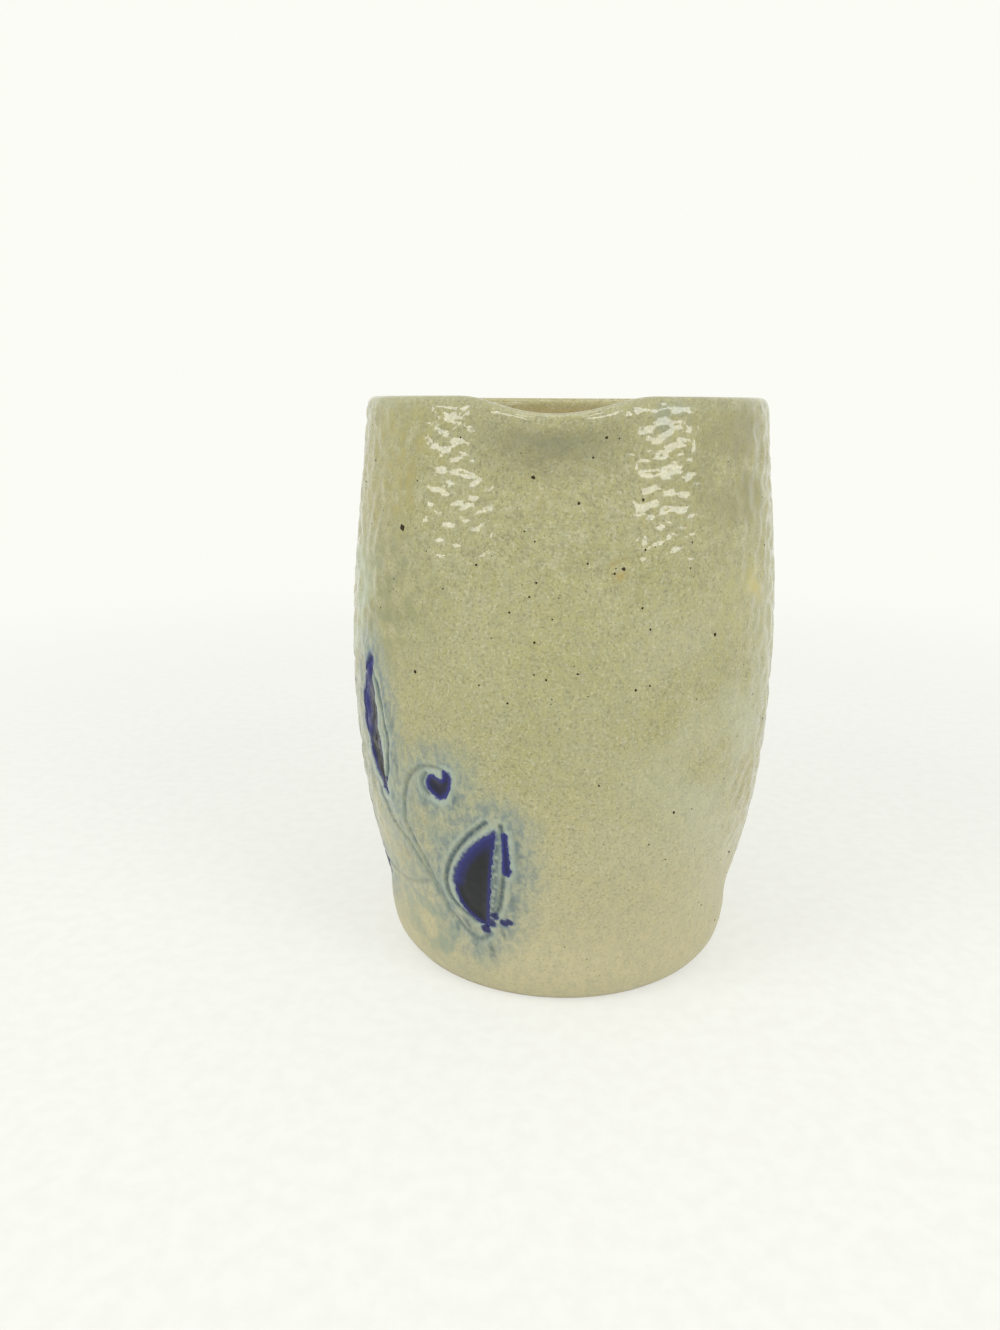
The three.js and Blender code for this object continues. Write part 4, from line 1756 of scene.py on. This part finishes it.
@dataclass
class IronSpecks:
    """The larger iron spots on the wall, each a low drop of dark melt.

    Attributes:
        wall: The wall that they lie on.
        named: The spots that stand out, as angle, height and radius.
        scattered: How many smaller ones there are.
        smallest: The smallest radius of those.
        largest: The largest.
        rise, sink: How far a spot's middle stands out and its edge is sunk.
        inner_share, inner_rise: The size and rise of its inner ring, as shares of its own.
        ragged: The shares of its radius between which its corners lie.
        clear_of_sprig: How far they keep, below clear_below, from the sprig's middle line.
        clear_of_handle: The angle past which the handle is.
    """

    wall: GlazedWall
    named: tuple = ((-40.8, 0.0865, 0.00068), (-4.7, 0.0957, 0.00042), (21.2, 0.0922, 0.00036),
                    (11.8, 0.1026, 0.00028), (14.9, 0.1021, 0.00020), (41.6, 0.0697, 0.00042),
                    (-34.4, 0.0625, 0.00040), (32.3, 0.0391, 0.00034), (16.5, 0.0816, 0.00038),
                    (14.4, 0.0809, 0.00024), (14.7, 0.0817, 0.00016), (6.0, 0.0918, 0.00026),
                    (23.1, 0.0718, 0.00024), (-3.4, 0.0699, 0.00026), (-0.6, 0.0638, 0.00024),
                    (-9.4, 0.0595, 0.00024), (-16.3, 0.0621, 0.00022), (6.5, 0.0649, 0.00022),
                    (-17.8, 0.0817, 0.00026), (-3.3, 0.0794, 0.00024), (21.7, 0.0845, 0.00024),
                    (-9.3, 0.0745, 0.00022))
    scattered: int = 230
    smallest: float = 0.00010
    largest: float = 0.00026
    corners: int = 9
    rise: float = 0.00005
    sink: float = 0.00003
    inner_share: float = 0.6
    inner_rise: float = 0.7
    ragged: Span = (0.8, 1.2)
    heights: Span = (0.006, 0.104)
    clear_of_sprig: float = 62.0
    clear_below: float = 0.066
    clear_of_handle: float = 165.0
    seed: int = 5

    def _spots(self) -> list[tuple[float, float, float]]:
        """List every spot.

        Returns:
            The angle, height and radius of each.
        """
        draw = np.random.default_rng(self.seed)
        spots = list(self.named)
        while len(spots) < len(self.named) + self.scattered:
            angle, height = draw.uniform(-180.0, 180.0), draw.uniform(*self.heights)
            size = self.smallest + (self.largest - self.smallest) * draw.uniform() ** 2
            near = abs(angle - self.wall.sprig.angle) < self.clear_of_sprig and height < self.clear_below
            if not near and abs(angle) < self.clear_of_handle:
                spots.append((angle, height, size))
        return spots

    def dress(self, melt: Material) -> None:
        """Build the spots as one piece and put it on its body.

        Args:
            melt: Their material.
        """
        draw = np.random.default_rng(self.seed + 1)
        angles, heights, rises, faces = [], [], [], []
        for degrees, up, size in self._spots():
            start = len(angles)
            radius = float(self.wall.profile.radius_at(np.array(up)))
            turn = draw.uniform(0.0, math.tau)
            for share, rise in ((1.0, -self.sink), (self.inner_share, self.rise * self.inner_rise)):
                for corner in range(self.corners):
                    way = turn + math.tau * corner / self.corners
                    far = size * share * draw.uniform(*self.ragged)
                    angles.append(math.radians(degrees) + far * math.cos(way) / radius)
                    heights.append(up + far * math.sin(way))
                    rises.append(rise)
            angles.append(math.radians(degrees))
            heights.append(up)
            rises.append(self.rise)
            inner, tip = start + self.corners, start + 2 * self.corners
            for quad in band_faces(start, inner, self.corners):
                faces += [quad, [quad[3], quad[2], tip]]
            faces.append(list(range(start, inner))[::-1])
        angle, height = np.array(angles), np.array(heights)
        lift, _ = self.wall.skin(angle, height)
        points = self.wall.place(angle, height, lift + np.array(rises))
        hand_over(make_piece("iron_specks", points, faces, melt), "stoneware")


@dataclass
class StrapHandle:
    """The pulled strap opposite the lip, and the slip that beds its two ends.

    Attributes:
        wall: The wall that it is luted to.
        root_height: Where its line leaves the wall.
        tail_height: Where it comes back.
        bed: How far into the wall its ends run.
        pull, rise, tail_lift: How its line is pulled out, up at its root and up at its tail.
        calm: The shares of its length, from each end, over which its waves set in.
        search: The share of its length within which it comes out of the wall.
        slip_length, slip_spread: How far the slip runs along the strap and over the wall.
        slip_sink, slip_core: How far its edges and its inside are sunk into both.
    """

    wall: GlazedWall
    root_height: float = 0.0930
    tail_height: float = 0.0390
    bed: float = 0.00225
    pull: float = 0.0336
    rise: float = 0.0070
    tail_lift: float = 0.0060
    root_width: float = 0.0220
    root_thickness: float = 0.0076
    tail_width: float = 0.0155
    tail_thickness: float = 0.0056
    groove_width: float = 0.0110
    groove_depth: float = 0.0009
    ridge_height: float = 0.00012
    ridge_pitch: float = 0.0024
    steps: int = 150
    corners: int = 72
    slip_length: float = 0.0042
    slip_spread: float = 0.0040
    slip_steps: int = 9
    slip_sink: float = 0.00012
    slip_core: float = 0.0012
    slip_uneven: float = 0.12
    slip_waves: float = 3.0
    slip_pebble: float = 0.55
    core_share: float = 0.8
    sway: Waves = Waves(0.014, 31)
    sway_height: float = 0.00010
    peel: Waves = Waves(0.0034, 32)
    peel_height: float = 0.00005
    calm: Span = (0.02, 0.12)
    pebble: float = 0.75
    search: float = 0.3
    search_steps: int = 240
    line_steps: int = 399

    def _line(self, share: Array) -> tuple[Array, Array]:
        """Follow the strap's middle line.

        Args:
            share: How far along it, from 0 to 1.

        Returns:
            The points and the unit tangents, each as y and z.
        """
        root, tail = self.wall.profile.radius_at(np.array([self.root_height, self.tail_height]))
        knots = np.array([(root - self.bed, self.root_height),
                          (root + self.pull, self.root_height + self.rise),
                          (tail + self.pull, self.tail_height + self.tail_lift),
                          (tail - self.bed, self.tail_height)])
        t = share[:, None]
        points = ((1 - t) ** 3 * knots[0] + 3 * t * (1 - t) ** 2 * knots[1]
                  + 3 * t**2 * (1 - t) * knots[2] + t**3 * knots[3])
        way = ((1 - t) ** 2 * (knots[1] - knots[0]) + 2 * t * (1 - t) * (knots[2] - knots[1])
               + t**2 * (knots[3] - knots[2]))
        return points, way / np.linalg.norm(way, axis=1)[:, None]

    def surface(self, share: Array, turn: Array, grow: float = 0.0) -> Array:
        """Give points of the strap's skin.

        Args:
            share: How far along the strap each is, from 0 to 1.
            turn: How far round its section, in radians from the right edge over the outer side.
            grow: How far outside the skin.

        Returns:
            The points.
        """
        middle, way = self._line(share)
        width = self.root_width + (self.tail_width - self.root_width) * share
        thick = self.root_thickness + (self.tail_thickness - self.root_thickness) * share
        across = (width / 2 + grow) * np.cos(turn)
        out = (thick / 2 + grow) * np.sin(turn)
        outer = np.maximum(np.sin(turn), 0.0)
        groove = self.groove_depth * bell(across, self.groove_width / 2) * outer
        ridges = self.ridge_height * np.sin(math.tau * across / self.ridge_pitch) * np.abs(np.sin(turn))
        out = out - groove + ridges * np.sign(np.sin(turn))
        return np.column_stack([across, middle[:, 0] - way[:, 1] * out, middle[:, 1] + way[:, 0] * out])

    def build(self, glaze: Material) -> Object:
        """Build the strap.

        Args:
            glaze: Its glaze.

        Returns:
            The piece.
        """
        share, turn = np.meshgrid(np.linspace(0.0, 1.0, self.steps + 1),
                                  np.arange(self.corners) * math.tau / self.corners, indexing="ij")
        share, turn = share.ravel(), turn.ravel()
        points = self.surface(share, turn)
        middle, _ = self._line(share)
        core = np.column_stack([np.zeros(len(share)), middle])
        away = points - core
        away /= np.linalg.norm(away, axis=1)[:, None]
        free = ease(share, *self.calm) * ease(1.0 - share, *self.calm)
        waves = self.sway_height * (np.tanh(self.sway.at(core)) - 1.0)
        waves += self.peel_height * (np.tanh(self.peel.at(points)) - 1.0)
        points += away * (free * waves)[:, None]
        ring = self.corners
        faces = []
        for step in range(self.steps):
            faces += band_faces(step * ring, (step + 1) * ring, ring)
        faces.append(list(range(ring))[::-1])
        faces.append(list(range(self.steps * ring, (self.steps + 1) * ring)))
        return make_piece("pulled_strap", points, faces, glaze, {"pebble": np.full(len(points), self.pebble)})

    def _meeting(self, turn: Array, root: bool) -> Array:
        """Find where the strap's skin comes out of the wall.

        Args:
            turn: The places round the strap's section.
            root: Whether it is the upper end.

        Returns:
            How far along the strap the wall lies at each place.
        """
        run = np.linspace(0.0, self.search, self.search_steps + 1)
        found = np.zeros(len(turn))
        for index, place in enumerate(turn):
            share = run if root else 1.0 - run
            skin = self.surface(share, np.full(len(run), place))
            gap = np.hypot(skin[:, 0], skin[:, 1]) - self.wall.profile.radius_at(skin[:, 2])
            out = int(np.argmax(gap > 0))
            back = gap[out - 1] / (gap[out - 1] - gap[out])
            found[index] = share[out - 1] + back * (share[out] - share[out - 1])
        return found

    def build_slip(self, name: str, root: bool, slip: Material) -> Object:
        """Build the hollow fillet of slip about one end.

        Args:
            name: The piece's name.
            root: Whether it is the upper end.
            slip: Its material.

        Returns:
            The piece.
        """
        turn = np.arange(self.corners) * math.tau / self.corners
        meet = self._meeting(turn, root)
        corner = self.surface(meet, turn)
        line, _ = self._line(np.linspace(0.0, 1.0, self.line_steps + 1))
        whole = np.linalg.norm(np.diff(line, axis=0), axis=1).sum()
        uneven = 1.0 + self.slip_uneven * self.sway.at(corner * self.slip_waves)
        along = self.slip_length * uneven / whole * (1.0 if root else -1.0)
        strap_edge = self.surface(meet + along, turn, -self.slip_sink)
        core_edge = self.surface(meet + along * self.core_share, turn, -self.slip_core)
        arc = np.arctan2(corner[:, 0], corner[:, 1]) * np.hypot(corner[:, 0], corner[:, 1])
        unrolled = np.column_stack([arc, corner[:, 2]])
        away = unrolled - unrolled.mean(0)
        away /= np.linalg.norm(away, axis=1)[:, None]
        spread = unrolled + away * (self.slip_spread * uneven)[:, None]
        sunk = unrolled - away * self.slip_core
        wall_edge = self._on_wall(spread, -self.slip_sink - self.wall.deepest_relief())
        core_wall = self._on_wall(sunk, -self.slip_core)
        share = np.linspace(0.0, 1.0, self.slip_steps + 1)
        rings = [(1 - s) ** 2 * wall_edge + 2 * s * (1 - s) * corner + s**2 * strap_edge for s in share]
        rings += [core_edge, core_wall]
        points = np.vstack(rings)
        ring, levels = self.corners, len(rings)
        faces = []
        for level in range(levels):
            quads = band_faces(level * ring, (level + 1) % levels * ring, ring)
            faces += quads if root else [quad[::-1] for quad in quads]
        return make_piece(name, points, faces, slip, {"pebble": np.full(len(points), self.slip_pebble)})

    def _on_wall(self, unrolled: Array, lift: float) -> Array:
        """Lay points of the unrolled back of the wall on it.

        Args:
            unrolled: Points as the way round from the handle and the height.
            lift: How far they stand out from the plain wall.

        Returns:
            The points in space.
        """
        radius = self.wall.profile.radius_at(unrolled[:, 1])
        off = unrolled[:, 0] / radius
        reach = radius + lift
        return np.column_stack([reach * np.sin(off), reach * np.cos(off), unrolled[:, 1]])

    def dress(self, glaze: Material, slip: Material) -> None:
        """Build the strap and its slip and put them on their body.

        Args:
            glaze: The strap's glaze.
            slip: The slip's.
        """
        hand_over(self.build(glaze), "stoneware", "strap_handle")
        hand_over(self.build_slip("root_fillet", True, slip), "luting_slip", "handle_root_slip")
        hand_over(self.build_slip("tail_fillet", False, slip), "luting_slip", "handle_tail_slip")


@dataclass(frozen=True)
class SoftBox:
    """A soft studio lamp of a power in watts, placed by its azimuth from the lip and its elevation."""

    name: str
    azimuth: float
    elevation: float
    distance: float
    width: float
    height: float
    power: float
    aim: tuple[float, float, float] = (0.0, 0.0, 0.060)

    def build(self) -> None:
        """Hang the lamp."""
        lamp = bpy.data.lights.new(self.name, "AREA")
        lamp.shape = "RECTANGLE"
        lamp.size, lamp.size_y = self.width, self.height
        lamp.energy = self.power
        stand = bpy.data.objects.new(self.name, lamp)
        turn, up = math.radians(self.azimuth), math.radians(self.elevation)
        off = Vector((math.sin(turn) * math.cos(up), -math.cos(turn) * math.cos(up), math.sin(up)))
        stand.location = Vector(self.aim) + self.distance * off
        stand.rotation_euler = (-off).to_track_quat("-Z", "Y").to_euler()
        bpy.context.scene.collection.objects.link(stand)


@dataclass(frozen=True)
class Studio:
    """The pale seamless ground, the lamps, the sky light and the camera.

    Attributes:
        eye: Where the camera stands.
        yaw: How far it is turned to the left.
        pitch: How far it is tilted up from looking straight down.
        roll: How far it is rolled.
        lens: Its focal length in mm.
        sensor: The height of its sensor in mm.
        near: How near to it things are drawn.
        sky: The strength of the sky's light.
        floor_glow: How much of the ground's colour under the pot is the air's.
        fade: How far from the pot the ground fades into the air.
    """

    eye: tuple[float, float, float] = (0.00843, -0.19309, 0.10666)
    yaw: float = 6.114
    pitch: float = 75.15
    roll: float = 0.285
    lens: float = 26.69
    sensor: float = 36.0
    near: float = 0.005
    paper: Colour = srgb(243, 243, 236)
    air: Colour = srgb(251, 252, 245)
    grain: Cloud = Cloud(300.0, 3.0)
    sky: float = 0.545
    floor_glow: float = 0.6
    floor_size: float = 8.0
    fade: Span = (0.10, 0.45)
    lamps: tuple[SoftBox, ...] = (
        SoftBox("left_box", -55.0, 17.0, 0.62, 0.34, 0.13, 0.88),
        SoftBox("right_box", 57.0, 17.0, 0.62, 0.34, 0.13, 0.88),
        SoftBox("left_high", -50.0, 44.0, 0.62, 0.20, 0.09, 0.40),
        SoftBox("right_high", 50.0, 44.0, 0.62, 0.20, 0.09, 0.40),
        SoftBox("top_box", 0.0, 87.0, 1.10, 0.90, 0.90, 3.6),
    )

    def _camera(self) -> None:
        """Set the camera where the photograph was taken from."""
        camera = bpy.data.cameras.new("camera")
        camera.sensor_fit = "VERTICAL"
        camera.sensor_height = self.sensor
        camera.lens = self.lens
        camera.clip_start = self.near
        view = bpy.data.objects.new("camera", camera)
        turn = Matrix.Rotation(math.radians(self.yaw), 4, "Z")
        tilt = Matrix.Rotation(math.radians(self.pitch), 4, "X")
        spin = Matrix.Rotation(math.radians(self.roll), 4, "Z")
        view.matrix_world = Matrix.Translation(self.eye) @ turn @ tilt @ spin
        bpy.context.scene.collection.objects.link(view)
        bpy.context.scene.camera = view

    @staticmethod
    def _seen(sketch: NodeSketch) -> NodeSocket:
        """Tell which rays show the background itself.

        Args:
            sketch: The node tree to draw in.

        Returns:
            1 for a ray from the camera or a reflection.
        """
        path = sketch.add("ShaderNodeLightPath").outputs
        mirrored = sketch.maths("MAXIMUM", path["Is Camera Ray"], path["Is Glossy Ray"])
        return sketch.maths("MAXIMUM", mirrored, path["Is Transmission Ray"])

    def _world(self) -> None:
        """Fill the sky with soft light."""
        world = bpy.data.worlds.new("soft_sky")
        sketch = NodeSketch(world)
        light = sketch.add("ShaderNodeBackground", {"Strength": self.sky}).outputs[0]
        shown = sketch.add("ShaderNodeBackground", {"Color": self.air}).outputs[0]
        blend = sketch.add("ShaderNodeMixShader", {0: self._seen(sketch), 1: light, 2: shown})
        sketch.add("ShaderNodeOutputWorld", {"Surface": blend.outputs[0]})
        bpy.context.scene.world = world

    def _floor(self) -> None:
        """Lay the ground, which fades into the sky's colour away from the pot."""
        half = self.floor_size / 2
        corners = np.array([(-half, -half, 0.0), (half, -half, 0.0), (half, half, 0.0), (-half, half, 0.0)])
        sketch = NodeSketch(bpy.data.materials.new("paper_ground"))
        grain = sketch.mix(self.grain.drawn(sketch), self.paper, self.air)
        matt = sketch.add("ShaderNodeBsdfDiffuse", {"Color": grain})
        shine = sketch.add("ShaderNodeEmission", {"Color": self.air})
        far = sketch.span(sketch.distance((0.0, 0.0, 0.0)), *self.fade, self.floor_glow, 1.0)
        share = sketch.times(far, self._seen(sketch))
        blend = sketch.add("ShaderNodeMixShader", {0: share, 1: matt.outputs[0], 2: shine.outputs[0]})
        sketch.add("ShaderNodeOutputMaterial", {"Surface": blend.outputs[0]})
        make_piece("ground", corners, [[0, 1, 2, 3]], sketch.owner)

    def build(self) -> None:
        """Set up the studio."""
        self._camera()
        self._world()
        self._floor()
        for lamp in self.lamps:
            lamp.build()
        bpy.context.scene.view_settings.view_transform = "Standard"


def main() -> None:
    """Build the studio and the pot, piece by piece."""
    logging.basicConfig(level=logging.INFO, format="%(name)s: %(message)s")
    Studio().build()
    low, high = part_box("thrown_body")
    profile = WallProfile(high.z - low.z, high.x)
    wall = GlazedWall(profile, PouringLip(profile), Sprig())
    glaze = SaltGlaze().material()
    slip = SaltGlaze("luting_slip_glaze", warm=srgb(184, 172, 132), green=srgb(168, 164, 122)).material()
    ThrownBody(wall).dress(glaze)
    SprigFilling(wall).dress(CobaltGlass().material())
    IronSpecks(wall).dress(IronSpot().material())
    StrapHandle(wall).dress(glaze, slip)
    log.info("%d solids are in the frame", len(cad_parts))


if __name__ == "__main__":
    main()
